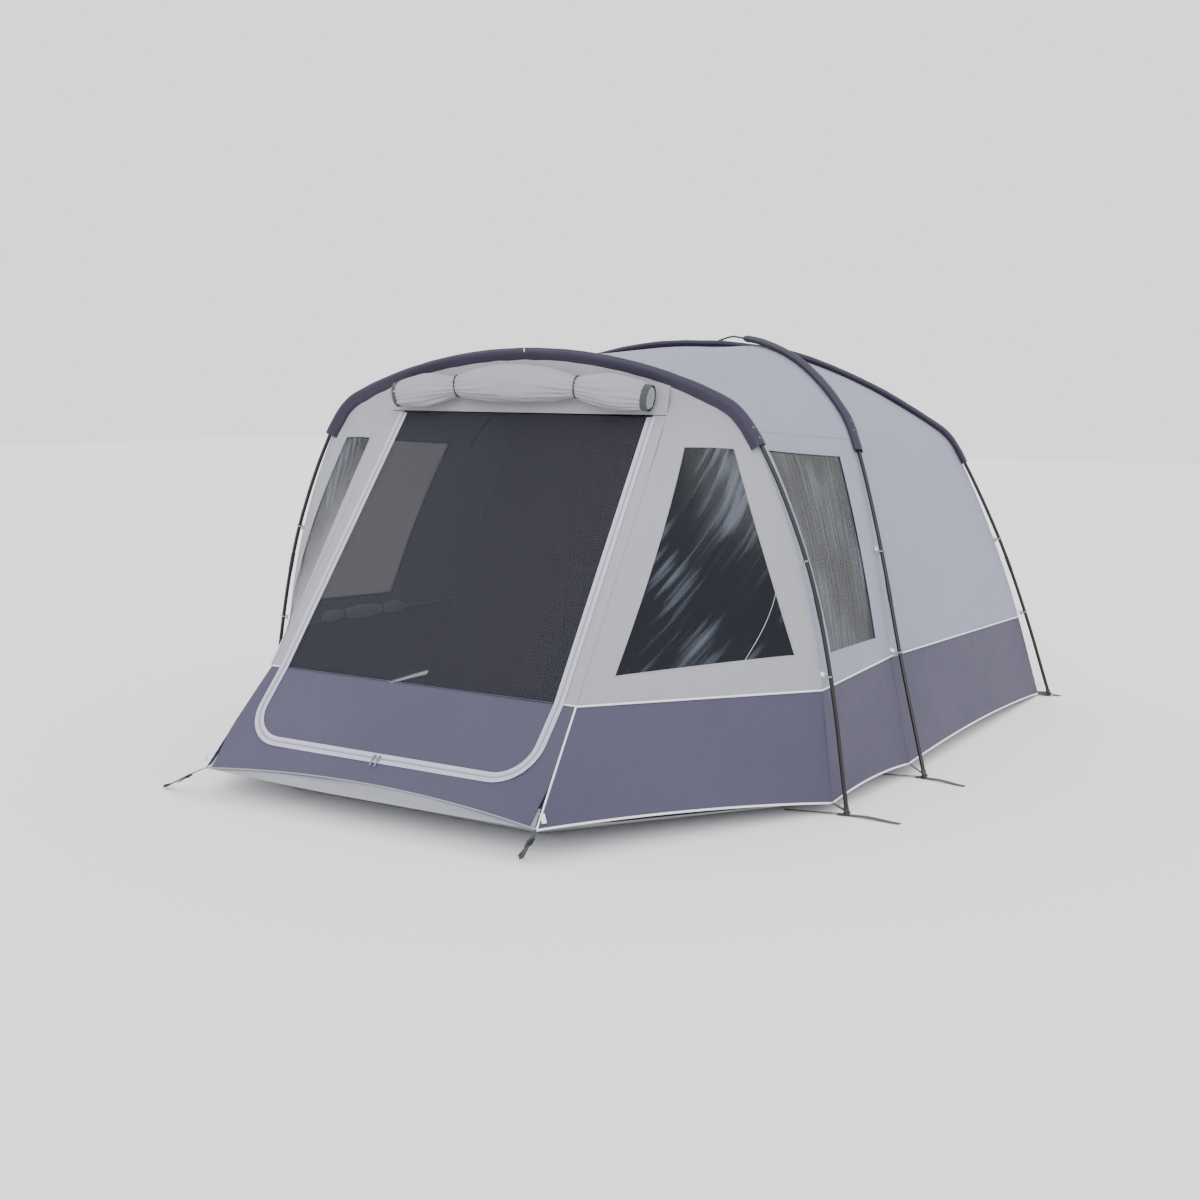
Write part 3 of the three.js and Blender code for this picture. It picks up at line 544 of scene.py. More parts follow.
def creased(surface, slant, height):
    """A film surface with long creases that run from one corner towards the other."""

    def pulled(u, v):
        p = surface(u, v)
        across = u * slant[0] + v * slant[1]
        edge = min(1.0, 6 * abs(noise.noise(Vector((across * 3, 0, 2)))) + 0.3)
        rise = abs(math.sin(across * 13 + 2 * noise.noise(Vector((u * 1.5, v * 1.5, 5)))))
        return p + Vector((0.35, -0.9, 0.2)) * (height * edge * (1 - rise) ** 2)

    return pulled


def windowed(name, surface, hole, size, finish, slant):
    wall = lay(f"{name}_wall_cloth", surface, around(hole, 14, 22), size)
    finish_piece(wall, "tent", finish, [f"{name}_wall"])
    corners = grown(hole, SEWN)
    film_surface = creased(behind(surface, 0.004), slant, slant[2])
    pane = lay(f"{name}_film", film_surface, [(tuple(corners), 70, 50)], size, 0.0006, 0.0006)
    finish_piece(pane, "tent", PVC_BAY if "bay" in name else PVC_WING, [f"{name}_window"])
    declare_cloth(wall, strip_size(surface, hole), f"{name}_wall")
    declare_cloth(pane, cut_size(surface, corners), f"{name}_window")


def bay_line(rib):
    return part_of(rib, 1.004, SHOULDER - 0.01, 12)


def wing_top(surface):
    """The wing's top edge follows the hoop's arch, a little above a straight line."""

    def lifted(u, v):
        p = surface(u, v)
        p.z += 0.018 * math.sin(math.pi * min(max(v, 0), 1)) * max(u, 0) ** 3
        return p

    return lifted


for side, place in (("right", list), ("left", mirrored)):
    bay = ruled(place(bay_line(HOOP)), place(bay_line(FORE)), sag=0.01)
    windowed(f"bay_{side}", bay, BAY_HOLE, (1.2, 1.15), LIGHT, (0.15, 1.0, 0.0012))
    wing = wing_top(ruled(place(part_of(SEAM, 0.004, 4, 12)), place(part_of(HOOP, 1.004, 5, 12)), sag=0.008))
    slant = (1.0, -0.75, 0.0034)
    windowed(f"front_wing_{side}", wing, WING_HOLE, (1.3, 0.9), FRONT, slant)

# %% [markdown]
# ## The dark valance
# Below the mud line the fly is a darker, tougher cloth that runs down to the pegging points. Its
# hem is scooped between them, because the wind would flap a straight one.

# %% Valances
for side, place in (("right", list), ("left", mirrored)):
    feet = [
        ("wing", [CORNER, SEAM[0]], HOOP[:2], 0.02, 1.0),
        ("bay", HOOP[:2], FORE[:2], 0.022, 0.8),
        ("dome", FORE[:2], REAR[:2], 0.03, 2.0),
    ]
    for name, low, high, hem, length in feet:
        a = [Vector(low[0]), Vector(low[1]).lerp(Vector(low[0]), 0.002)]
        b = [Vector(high[0]), Vector(high[1]).lerp(Vector(high[0]), 0.002)]
        surface = ruled(place(a), place(b), 0.004, hem)
        panel = lay(f"{name}_skirt_{side}", surface, whole(18, 48), (0.5, length))
        finish_piece(panel, "tent", DARK, [f"{name}_valance_{side}"])
        declare_cloth(panel, cut_size(surface), f"{name}_valance_{side}")

rear_low = [Vector(REAR[0]), Vector(REAR[1]).lerp(Vector(REAR[0]), 0.002)]
rear_foot = ruled(rear_low, mirrored(rear_low), 0.004, 0.03)
skirt = lay("rear_skirt", rear_foot, whole(18, 90), (0.5, 3.1))
finish_piece(skirt, "tent", DARK, ["rear_valance"])
declare_cloth(skirt, cut_size(rear_foot), "rear_valance")

# %% [markdown]
# ## The sloping front
# The door wall is two flat slopes that meet in a fold at the mud line. A point on them is given by
# x and by the way up the slope from the fold, which is how the real panel is cut on a table.

# %% The front's two slopes
FOLD = Vector((0, -1.694, 0.512))
HEAD = Vector((0, -0.902, 1.588))
TOE = Vector((0, CORNER[1], CORNER[2]))
UP = (HEAD - FOLD).length
DOWN = (FOLD - TOE).length
ZIP_FOLD, ZIP_HEAD, ZIP_DEEP, ZIP_ROUND = 0.690, 0.646, 0.349, 0.165


def slope(x, s, proud=0.0):
    """The point x across and s up the slope from the fold, standing proud of the cloth."""
    way = (HEAD - FOLD).normalized() if s >= 0 else (FOLD - TOE).normalized()
    out = Vector((0, -way.z, way.y))
    p = FOLD + way * s + out * proud
    p.x = x
    return p


def zip_half(s):
    """Half the width between the zips at s up the slope: straight sides, then a round corner."""
    if s >= 0:
        return ZIP_FOLD + (ZIP_HEAD - ZIP_FOLD) * s / UP
    over = -ZIP_DEEP + ZIP_ROUND - s
    if over <= 0:
        return ZIP_FOLD
    return ZIP_FOLD - ZIP_ROUND + math.sqrt(max(ZIP_ROUND**2 - over**2, 0))


def seam_half(s):
    if s >= 0:
        return SEAM[0][0] + (SEAM[3][0] - SEAM[0][0]) * s / UP
    return SEAM[0][0] + (CORNER[0] - SEAM[0][0]) * -s / DOWN


print("slopes", round(UP, 3), round(DOWN, 3))

# %% [markdown]
# ## Door, posts and header
# The door is net above the fold and dark cloth below it, in one piece that the zip lets go. Beside
# it stand two narrow posts, and above it the header that the outer door is sewn to. The dark cloth
# round the U of the zip is cut to a scooped hem, so it is laid between the zip's line and the hem.

# %% Door, posts and header
GAP = 0.003


def door_net(u, v):
    s = GAP + u * (UP - 2 * GAP)
    x = (2 * v - 1) * (zip_half(s) - GAP)
    belly = 0.012 * math.sin(math.pi * v) * math.sin(math.pi * u)
    return slope(x, s, belly)


def door_foot(u, v):
    s = -ZIP_DEEP + GAP + u * (ZIP_DEEP - 2 * GAP)
    x = (2 * v - 1) * (zip_half(s) - GAP)
    return slope(x, s, 0.008 * math.sin(math.pi * v) * math.sin(math.pi * u))


netting = lay("door_net", door_net, whole(44, 48), (UP, 1.36), 0.0006, 0.0012)
finish_piece(netting, "front_door", NET, ["door_mesh"])
kick = lay("door_kick_panel", door_foot, whole(40, 60), (ZIP_DEEP, 1.38), 0.001, 0.002)
finish_piece(kick, "front_door", DARK, ["door_lower_panel"])
declare_cloth(netting, cut_size(door_net), "door_mesh")
# the kick panel's lower corners are rounded off, so its rectangle is measured straight across
declare_cloth(kick, (2 * ZIP_FOLD, ZIP_DEEP), "door_lower_panel")


def post(side):
    def surface(u, v):
        s = GAP + u * (UP - GAP)
        inner, outer = zip_half(s) + GAP, seam_half(s) - 0.001
        return slope(side * (inner + (outer - inner) * v), s)

    return surface


def header(u, v):
    x = (2 * v - 1) * 0.717
    foot = HEAD + Vector((x, 0, GAP))
    s = 5.0
    while on(HOOP, s).x > abs(x) and s < 12.9:
        s += 0.1
    peak = on(HOOP, s)
    return foot.lerp(Vector((x, peak.y - 0.012, peak.z - 0.006)), u)


for side, sign in (("right", 1), ("left", -1)):
    made = lay(f"door_post_{side}", post(sign), whole(50, 5), (UP, 0.075), 0.0012, 0.001)
    finish_piece(made, "tent", FRONT, [f"front_post_{side}"])
    declare_cloth(made, cut_size(post(sign)), f"front_post_{side}")
made = lay("fly_front_header", header, whole(14, 60), (0.25, 1.42))
finish_piece(made, "tent", FRONT, ["front_header"])
declare_cloth(made, cut_size(header), "front_header")

HEM_RISE = 0.058


def hem_way(v):
    """The front hem, as x and s up the slope, from the right corner to the left."""
    x = CORNER[0] * (1 - 2 * v)
    return x, -DOWN + HEM_RISE * 4 * v * (1 - v)


def round_zip(v):
    """The outside of the zip's U, from the right of the fold to the left."""
    t = abs(2 * v - 1)
    sign = 1 if v < 0.5 else -1
    flat = ZIP_FOLD - ZIP_ROUND
    if t > 0.7:
        f = (t - 0.7) / 0.3
        x, s = ZIP_FOLD, -ZIP_DEEP + ZIP_ROUND + f * (ZIP_DEEP - ZIP_ROUND - GAP)
    elif t > 0.45:
        angle = (t - 0.45) / 0.25 * math.pi / 2
        x, s = flat + ZIP_ROUND * math.sin(angle), -ZIP_DEEP + ZIP_ROUND * (1 - math.cos(angle))
    else:
        x, s = flat * t / 0.45, -ZIP_DEEP
    return sign * (x + GAP), s - GAP


def valance(u, v):
    """From the hem at u = 0 to the zip at u = 1; its ends follow the seams down from the fold."""
    t = abs(2 * v - 1)
    sign = 1 if v < 0.5 else -1
    if t > 0.7:
        f = (t - 0.7) / 0.3
        s0 = -DOWN + f * (DOWN - GAP)
        x0 = sign * (seam_half(s0) + 0.003)
    else:
        x0, s0 = hem_way(0.5 - 0.5 * sign * t / 0.7)
        x0 *= 1.003
    x1, s1 = round_zip(v)
    pull = 0.006 * math.sin(22 * v) * math.sin(math.pi * u) * min(1.0, 3 * t)
    return slope(x0 + (x1 - x0) * u, s0 + (s1 - s0) * u, pull)


made = lay("front_kick_valance", valance, whole(12, 120), (0.17, 2.6))
finish_piece(made, "tent", DARK, ["front_valance"])
# it is cut from one rectangle, as wide as the hem and as long as the lower slope
declare_cloth(made, (2 * CORNER[0], DOWN), "front_valance")

# %% [markdown]
# ## Tubes, beads and ribbons
# Poles and piping are round, straps and zip tape are flat. A curve with a round bevel, turned into
# a mesh, makes every round run. A flat run is a strip of quads, thickened like cloth.

# %% Tubes and ribbons
def tube(name, points, radius, sides=4):
    """A round bar along points, closed at both ends."""
    curve = bpy.data.curves.new(name, "CURVE")
    curve.dimensions = "3D"
    curve.bevel_depth, curve.bevel_resolution, curve.use_fill_caps = radius, sides, True
    spline = curve.splines.new("POLY")
    spline.points.add(len(points) - 1)
    for spot, p in zip(spline.points, points):
        spot.co = (*p, 1)
    made = bpy.data.objects.new(name, curve)
    bpy.context.scene.collection.objects.link(made)
    pick(made)
    bpy.ops.object.convert(target="MESH")
    made = bpy.context.object
    made.name = name
    bpy.ops.object.shade_smooth_by_angle(angle=math.radians(40))
    return made


def ribbon(name, middles, sideways, thick=0.0014):
    """A flat strip: its middle points, and at each the half width to one side."""
    mesh = bmesh.new()
    uv_layer = mesh.loops.layers.uv.new("cloth")
    rows, run = [], 0.0
    for i, (p, half) in enumerate(zip(middles, sideways)):
        run += (Vector(p) - Vector(middles[i - 1])).length if i else 0.0
        rows.append([(mesh.verts.new(Vector(p) + half * k), (run, half.length * k)) for k in (-1, 0, 1)])
    for one, two in zip(rows, rows[1:]):
        for k in (0, 1):
            ring = (one[k], one[k + 1], two[k + 1], two[k])
            face = mesh.faces.new([r[0] for r in ring])
            for loop, r in zip(face.loops, ring):
                loop[uv_layer].uv = r[1]
    made = placed(name, mesh)
    thicken(made, thick)
    return made


def joined(name, parts):
    """Several meshes as one piece."""
    bpy.ops.object.select_all(action="DESELECT")
    for part in parts:
        part.select_set(True)
    bpy.context.view_layer.objects.active = parts[0]
    bpy.ops.object.join()
    parts[0].name = name
    return parts[0]


print("tubes and ribbons ready")

# %% [markdown]
# ## Poles
# Three poles, each of five lengths: steel legs and bent steel elbows, and a fibreglass rod over
# the roof. The CAD's lengths give their own centre lines: each ring of corners of a length is
# averaged to one point. The new tubes run on those points, with the collar of each push-in joint.

# %% Poles
RING = 0.022  # corners of one ring of the CAD tube lie closer together than this


def centres(node):
    """The middle of each ring of a CAD tube."""
    rings = []
    for corner in {tuple(round(c, 5) for c in v.co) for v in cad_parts[node].data.vertices}:
        p = Vector(corner)
        for ring in rings:
            if (ring[0] - p).length < RING:
                ring.append(p)
                break
        else:
            rings.append([p])
    return [sum(ring, Vector()) / len(ring) for ring in rings]


def run_of(node, key):
    """A CAD length's centre line, in order, as a smooth run."""
    points = sorted(centres(node), key=key)
    return part_of(points, 0, len(points) - 1, 6 * len(points))


POLES = {
    "front_hoop": ("right", "left"),
    "over_pole": ("front_right", "rear_left"),
    "under_pole": ("rear_right", "front_left"),
}
LEG_R, ELBOW_R, ROOF_R = 0.009, 0.0075, 0.0055
line_of = {}
leg_of = {}
for pole, ends in POLES.items():
    rod = run_of(f"{pole}_roof_pole", lambda p: -p.x)
    made = tube(f"{pole}_rod", rod, ROOF_R)
    finish_piece(made, "tent", FIBREGLASS, [f"{pole}_roof_pole"])
    line = []
    for k, end in enumerate(ends):
        leg = run_of(f"{pole}_leg_{end}", lambda p: p.z)
        elbow = run_of(f"{pole}_elbow_{end}", lambda p: p.z)
        leg_of[f"{pole}_{end}"] = leg
        collar = tube("collar", leg[len(leg) // 2 : len(leg) // 2 + 4], LEG_R + 0.0012)
        made = joined(f"{pole}_tube_{end}", [tube("leg", leg, LEG_R), collar])
        finish_piece(made, "tent", STEEL, [f"{pole}_leg_{end}"])
        made = tube(f"{pole}_bend_{end}", elbow, ELBOW_R)
        finish_piece(made, "tent", STEEL, [f"{pole}_elbow_{end}"])
        if k == 0:
            line = leg + elbow + rod
        else:
            line += elbow[::-1] + leg[::-1]
    line_of[pole] = line
print("poles", {name: len(line) for name, line in line_of.items()})

# %% [markdown]
# ## Pole sleeves
# A sleeve is a strip of heavy dark cloth folded over the pole and sewn down along both edges. It
# shows as a soft tube with a flat flange each side. The tube is an oval swept along the pole, a
# little uneven, since cloth gathers as the pole is pushed through it.

# %% Pole sleeves
SLEEVE_WIDE, SLEEVE_HIGH, FLANGE = 0.026, 0.0155, 0.011
# a sleeve is a strip folded over its pole: twice the depth of the band it shows as, and 25 mm
# round the pole. The hoop's band is 62 mm deep, and those of the crossed poles 50 mm.
STRIP_WIDE = {"front_hoop": 0.150, "under_pole": 0.125, "over_pole": 0.125}


def outward(p, along):
    """Away from the room at a point of a pole, square to the pole."""
    out = p - Vector((0, min(p.y, 1.173), 0.7))
    return (out - along * out.dot(along)).normalized()


def sleeve(name, line, stands_for, inner):
    count = len(line)
    mesh = bmesh.new()
    uv_layer = mesh.loops.layers.uv.new("cloth")
    rings, run = [], 0.0
    profile = []
    for k in range(28):
        a = 2 * math.pi * k / 28
        x, y = SLEEVE_WIDE * math.cos(a), SLEEVE_HIGH * math.sin(a)
        if abs(math.cos(a)) > 0.96:
            x += math.copysign(FLANGE * 0.6, x)
        profile.append((x, y if y > 0 else y * inner / SLEEVE_HIGH))
    for i, p in enumerate(line):
        along = (line[min(i + 1, count - 1)] - line[max(i - 1, 0)]).normalized()
        out = outward(p, along)
        side = along.cross(out)
        run += (p - line[i - 1]).length if i else 0.0
        ring = []
        for k, (x, y) in enumerate(profile):
            puff = 1 + 0.09 * noise.noise(Vector((run * 14, k * 0.55, 3)))
            ring.append(mesh.verts.new(p + side * x * (1 + 0.3 * (puff - 1)) + out * y * puff))
        rings.append((ring, run))
    for (one, a), (two, b) in zip(rings, rings[1:]):
        for k in range(28):
            j = (k + 1) % 28
            face = mesh.faces.new((one[k], one[j], two[j], two[k]))
            for loop, spot in zip(face.loops, ((a, k), (a, k + 1), (b, k + 1), (b, k))):
                loop[uv_layer].uv = (spot[0], spot[1] * 0.004)
    bmesh.ops.recalc_face_normals(mesh, faces=mesh.faces)
    made = placed(name, mesh)
    thicken(made, 0.0012)
    return finish_piece(made, "tent", SLEEVE, stands_for)


def between_boxes(line, node):
    """The points of a line that lie inside a CAD node's box, stepped 15 mm apart."""
    low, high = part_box(node)
    kept = [p for p in line if all(low[i] - 0.001 < p[i] < high[i] + 0.001 for i in range(3))]
    total = sum((b - a).length for a, b in zip(kept, kept[1:]))
    return part_of(kept, 0, len(kept) - 1, int(total / 0.015))


COVERS = [
    ("front_hoop", "front_hoop_sleeve"),
    ("under_pole", "under_pole_sleeve"),
    ("over_pole", "over_pole_sleeve_front"),
    ("over_pole", "over_pole_sleeve_rear"),
]
for pole, node in COVERS:
    inner = 0.046 if pole == "front_hoop" else 0.019  # the hoop's sleeve hangs lower, over the header
    made = sleeve(f"{node}_cloth", between_boxes(line_of[pole], node), [node], inner)
    way = between_boxes(line_of[pole], node)
    covered = sum((b - a).length for a, b in zip(way, way[1:]))
    declare_cloth(made, (STRIP_WIDE[pole], covered))

# %% [markdown]
# ## The zip
# The door's zip runs in one long U: down one side, round the foot, and up the other. Its teeth
# are a moulded coil between two woven tapes, one sewn to the tent and one to the door. The route
# is worked out once, with an outward direction at each point, and the tapes lie each side of it.

# %% Zip tapes, coil and sliders
def zip_route():
    """Points (x, s) and outward directions along the zip, from the right head to the left head."""
    route = []
    for i in range(26):
        s = (UP - 0.012) * (1 - i / 25)
        route.append((zip_half(s), s, 1.0, 0.0))
    straight = ZIP_DEEP - ZIP_ROUND
    for i in range(1, 7):
        route.append((ZIP_FOLD, -straight * i / 6, 1.0, 0.0))
    for i in range(1, 13):
        a = math.pi / 2 * i / 12
        x = ZIP_FOLD - ZIP_ROUND + ZIP_ROUND * math.cos(a)
        route.append((x, -straight - ZIP_ROUND * math.sin(a), math.cos(a), -math.sin(a)))
    flat = ZIP_FOLD - ZIP_ROUND
    for i in range(1, 14):
        route.append((flat * (1 - i / 13), -ZIP_DEEP, 0.0, -1.0))
    return route + [(-x, s, -a, b) for x, s, a, b in route[-2::-1]]


def beside(offset, proud):
    return [slope(x + a * offset, s + b * offset, proud) for x, s, a, b in zip_route()]


def strip_beside(name, inner, outer, proud):
    one, two = beside(inner, proud), beside(outer, proud)
    middles = [(a + b) / 2 for a, b in zip(one, two)]
    return ribbon(name, middles, [(b - a) / 2 for a, b in zip(one, two)])


route = [slope(x, s) for x, s, a, b in zip_route()]
ROUTE_LONG = sum((b - a).length for a, b in zip(route, route[1:]))
made = strip_beside("zip_tape_tent_side", 0.003, 0.021, 0.0036)
finish_piece(made, "tent", TAPE)
declare_cloth(made, (0.018, ROUTE_LONG))
made = strip_beside("zip_tape_door_side", -0.021, -0.003, 0.0036)
finish_piece(made, "front_door", TAPE)
declare_cloth(made, (0.018, ROUTE_LONG))
coil = tube("zip_coil", beside(0.0, 0.005), 0.0028, 3)
finish_piece(coil, "front_door", NYLON)


def block(name, centre, size, bevel=0.002):
    """A bevelled block, from a cube scaled to size before it is placed."""
    bpy.ops.object.select_all(action="DESELECT")
    bpy.ops.mesh.primitive_cube_add(size=1)
    made = bpy.context.object
    made.name = name
    made.data.transform(Matrix.Diagonal((*size, 1)))
    edge = made.modifiers.new("edge", "BEVEL")
    edge.width, edge.segments = bevel, 2
    bpy.ops.object.modifier_apply(modifier=edge.name)
    made.data.transform(Matrix.Translation(centre))
    bpy.ops.object.shade_smooth_by_angle(angle=math.radians(40))
    return made


def hollow_ring(name, major, minor, segments=20):
    bpy.ops.object.select_all(action="DESELECT")
    bpy.ops.mesh.primitive_torus_add(
        major_radius=major, minor_radius=minor, major_segments=segments, minor_segments=8
    )
    made = bpy.context.object
    made.name = name
    bpy.ops.object.shade_smooth()
    return made


def stand(made, at, across, along):
    """Moves a piece's mesh so that its own X points across and its own Z along."""
    z = along.normalized()
    x = (across - z * across.dot(z)).normalized()
    made.data.transform(Matrix.Translation(at) @ Matrix((x, z.cross(x), z)).transposed().to_4x4())
    return made


down_slope = (TOE - FOLD).normalized()
for side, sign in (("right", 1), ("left", -1)):
    at = slope(sign * 0.012, -ZIP_DEEP, 0.0075)
    body = block("slider", Vector(), (0.012, 0.007, 0.022), 0.0025)
    bridge = block("bridge", Vector((0, -0.004, 0.001)), (0.004, 0.005, 0.012), 0.0015)
    eye = hollow_ring("eye", 0.0045, 0.001, 14)
    eye.data.transform(Matrix.Translation((0, -0.0045, -0.012)) @ Matrix.Rotation(math.pi / 2, 4, "X"))
    pull = block("pull", Vector((0, -0.0045, -0.028)), (0.007, 0.002, 0.024), 0.001)
    made = joined(f"slider_{side}", [body, bridge, eye, pull])
    stand(made, at, Vector((1, 0, 0)), -down_slope)
    finish_piece(made, f"zip_slider_{side}", ZINC, [f"zip_slider_{side}"])
print("zip", len(zip_route()), "points")

# %% [markdown]
# ## Piping, binding and seams
# A round white cord is sewn into the mud line, and the hem is bound with white tape, so both draw
# a clean bright line. The other seams are flat-felled: two rows of stitching with a low ridge
# between, which shows as a thin line on the cloth. All of them are small round beads here.

# %% Piping and seams
def straight(a, b, count=24):
    a, b = Vector(a), Vector(b)
    return [a.lerp(b, i / (count - 1)) for i in range(count)]


def sewn(name, points, radius, material, body="tent", sides=2):
    return finish_piece(tube(name, points, radius, sides), body, material)


for side, place in (("right", list), ("left", mirrored)):
    flip_x = (lambda p: p) if side == "right" else (lambda p: Vector((-p[0], p[1], p[2])))
    mud = straight(SEAM[0], HOOP[1]) + straight(HOOP[1], FORE[1])[1:] + straight(FORE[1], REAR[1])[1:]
    mud = [flip_x(Vector(p) + (Vector(p) - MIDST).normalized() * 0.0042) for p in mud]
    sewn(f"mud_piping_{side}", mud, 0.0042, PIPING)
    hem_line = []
    for low, high, lift in ((CORNER, HOOP[0], 0.02), (HOOP[0], FORE[0], 0.022), (FORE[0], REAR[0], 0.03)):
        for i, p in enumerate(straight(low, high, 30)):
            v = i / 29
            hem_line.append(flip_x(p + Vector((0, 0, lift * 4 * v * (1 - v) - 0.002))))
    sewn(f"hem_binding_{side}", hem_line, 0.0045, PIPING)
    shoulder = straight(on(HOOP, SHOULDER), on(FORE, SHOULDER))
    sewn(f"bay_roof_seam_{side}", [flip_x(p) for p in shoulder], 0.0026, LIGHT)
    low_seam = straight(CORNER, SEAM[0], 16)
    sewn(f"corner_piping_{side}", [flip_x(p) for p in low_seam], 0.0038, PIPING)
    # the post seam is drawn in the darker sheeting grey: painted shade along the seam
    seam = [flip_x(p) for p in part_of(SEAM, 0, 4, 40)]
    sewn(f"post_seam_{side}", seam, 0.0024, SHEETING)
    for name, rib, start in (("hoop", HOOP, 1), ("fore", FORE, 1), ("rear", REAR, 1)):
        line = [flip_x(p) for p in part_of(rib, start, 4.3, 30)]
        sewn(f"{name}_wall_seam_{side}", line, 0.0028, LIGHT)
    for name, rib in (("hoop", HOOP), ("fore", FORE), ("rear", REAR)):
        line = [flip_x(p) for p in part_of(rib, 0, 1, 10)]
        sewn(f"{name}_skirt_seam_{side}", line, 0.0028, DARK)
rear_hem = [
    p + Vector((0, 0, 0.03 * 4 * (i / 59) * (1 - i / 59) - 0.002))
    for i, p in enumerate(straight(REAR[0], (-REAR[0][0], REAR[0][1], REAR[0][2]), 60))
]
sewn("rear_hem_binding", rear_hem, 0.0045, PIPING)
across = straight(REAR[1], (-REAR[1][0], REAR[1][1], REAR[1][2]), 20)
sewn("rear_mud_piping", across, 0.0042, PIPING)
front_hem = [slope(hem_way(i / 59)[0], hem_way(i / 59)[1], 0.001) for i in range(60)]
sewn("front_hem_binding", front_hem, 0.003, SHEETING)
for side, sign in (("right", 1), ("left", -1)):
    fold = [slope(sign * (ZIP_FOLD + 0.004 + 0.07 * i / 7), 0.0, 0.001) for i in range(8)]
    sewn(f"post_foot_seam_{side}", fold, 0.003, PIPING)
fold = [slope(x * 0.0133, 0.0, 0.002) for x in range(-50, 51)]
sewn("door_fold_seam", fold, 0.0022, DARK, "front_door")
# the head seam lies 9 mm above the door's own edge, clear of the line the door turns on
head = [slope(x * 0.0142, UP + 0.009, 0.001) for x in range(-50, 51)]
sewn("head_seam", head, 0.0026, FRONT)


def window_edge(surface, hole):
    points = []
    for i in range(4):
        a, b = Vector(hole[i]), Vector(hole[(i + 1) % 4])
        points += [surface(*a.lerp(b, k / 14)) for k in range(14)]
    return points + points[:1]


for side, place in (("right", list), ("left", mirrored)):
    bay = ruled(place(bay_line(HOOP)), place(bay_line(FORE)), sag=0.01)
    wing = wing_top(ruled(place(part_of(SEAM, 0.004, 4, 12)), place(part_of(HOOP, 1.004, 5, 12)), sag=0.008))
    sewn(f"bay_window_binding_{side}", window_edge(bay, BAY_HOLE), 0.0024, LIGHT)
    sewn(f"wing_window_binding_{side}", window_edge(wing, WING_HOLE), 0.0024, FRONT)
    # the zip of the inner blind shows through the film as a pale curve
    steps = [i / 24 for i in range(25)]
    curve = [wing(0.08 + 0.4 * t, 0.66 + 0.2 * math.sin(1.7 * t) + 0.03 * t) for t in steps]
    curve = [p + (MIDST - p).normalized() * -0.002 for p in curve]
    sewn(f"wing_blind_zip_{side}", curve, 0.0012, TAPE)
print("seams sewn")

# %% [markdown]
# ## The outer door, rolled up
# The solid outer door is rolled and tied under the hoop by two loops, with a strap at each end,
# so it hangs as three soft bulges with fine gathers at the ties. It is a swept tube whose radius
# swells between the ties, and whose skin is pleated along its length, deepest where it is tied.

# %% Rolled cloth
def rolled(name, line, ties, wide, high, pleats=17, seed=0.0):
    """A rolled sheet along a line, pinched at the given shares of its length."""
    count, around_it = len(line), 72
    mesh = bmesh.new()
    uv_layer = mesh.loops.layers.uv.new("cloth")
    rings = []
    for i, p in enumerate(line):
        t = i / (count - 1)
        near = min(abs(t - tie) for tie in ties)
        gap = max(b - a for a, b in zip(ties, ties[1:]))
        swell = min(1.0, near / (gap * 0.5))
        girth = 0.5 + 0.5 * math.sin(math.pi / 2 * swell) ** 0.62
        along = (line[min(i + 1, count - 1)] - line[max(i - 1, 0)]).normalized()
        up = (Vector((0, 0, 1)) - along * along.z).normalized()
        side = along.cross(up)
        ring = []
        for k in range(around_it):
            a = 2 * math.pi * k / around_it
            spot = Vector((math.cos(a), math.sin(a), seed))
            fold = 0.5 + 0.5 * math.sin(pleats * a + 5 * noise.noise(spot * 1.3 + Vector((t * 4, 0, 0))))
            depth = 0.2 * (1 - swell) ** 1.6
            soft = 1 - depth * fold + 0.11 * noise.noise(spot * 1.6 + Vector((t * 7, 0, 0)))
            soft += 0.035 * noise.noise(spot * 5 + Vector((t * 16, 3, 0)))
            reach = side * math.cos(a) * wide + up * math.sin(a) * high
            ring.append(mesh.verts.new(p + reach * girth * soft))
        rings.append((ring, t))
    for (one, s), (two, t) in zip(rings, rings[1:]):
        for k in range(around_it):
            j = (k + 1) % around_it
            face = mesh.faces.new((one[k], one[j], two[j], two[k]))
            for loop, spot in zip(face.loops, ((s, k), (s, k + 1), (t, k + 1), (t, k))):
                loop[uv_layer].uv = (spot[0] * 1.36, spot[1] * 0.0045)
    # each end is closed by a shallow stepped dish, as rolled layers look end on
    for ring, inward in ((rings[0][0], 1), (rings[-1][0], -1)):
        centre = sum((v.co for v in ring), Vector()) / around_it
        step = (line[1] - line[0]).normalized() * inward
        previous = ring
        for share, sink in ((0.8, 0.002), (0.62, 0.006), (0.45, 0.003), (0.25, 0.007)):
            inner = [mesh.verts.new(centre + (v.co - centre) * share + step * sink) for v in ring]
            for k in range(around_it):
                j = (k + 1) % around_it
                mesh.faces.new((previous[k], previous[j], inner[j], inner[k]))
            previous = inner
        mesh.faces.new(previous)
    bmesh.ops.recalc_face_normals(mesh, faces=mesh.faces)
    made = placed(name, mesh)
    for face in made.data.polygons:
        face.use_smooth = True
    return made


low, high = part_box("rolled_outer_door")
ROLL_HALF = (high.x - low.x) / 2 - 0.012
ROLL_Y = (low.y + high.y) / 2
roll_line = []
for i in range(150):
    f = 1 - 2 * i / 149
    roll_line.append(Vector((ROLL_HALF * f, ROLL_Y, high.z - 0.05 - 0.058 * f * f)))
TIES = (0.0, 0.27, 0.735, 1.0)
roll = rolled("outer_door_roll", roll_line, TIES, 0.058, 0.084)
finish_piece(roll, "tent", FRONT, ["rolled_outer_door"])


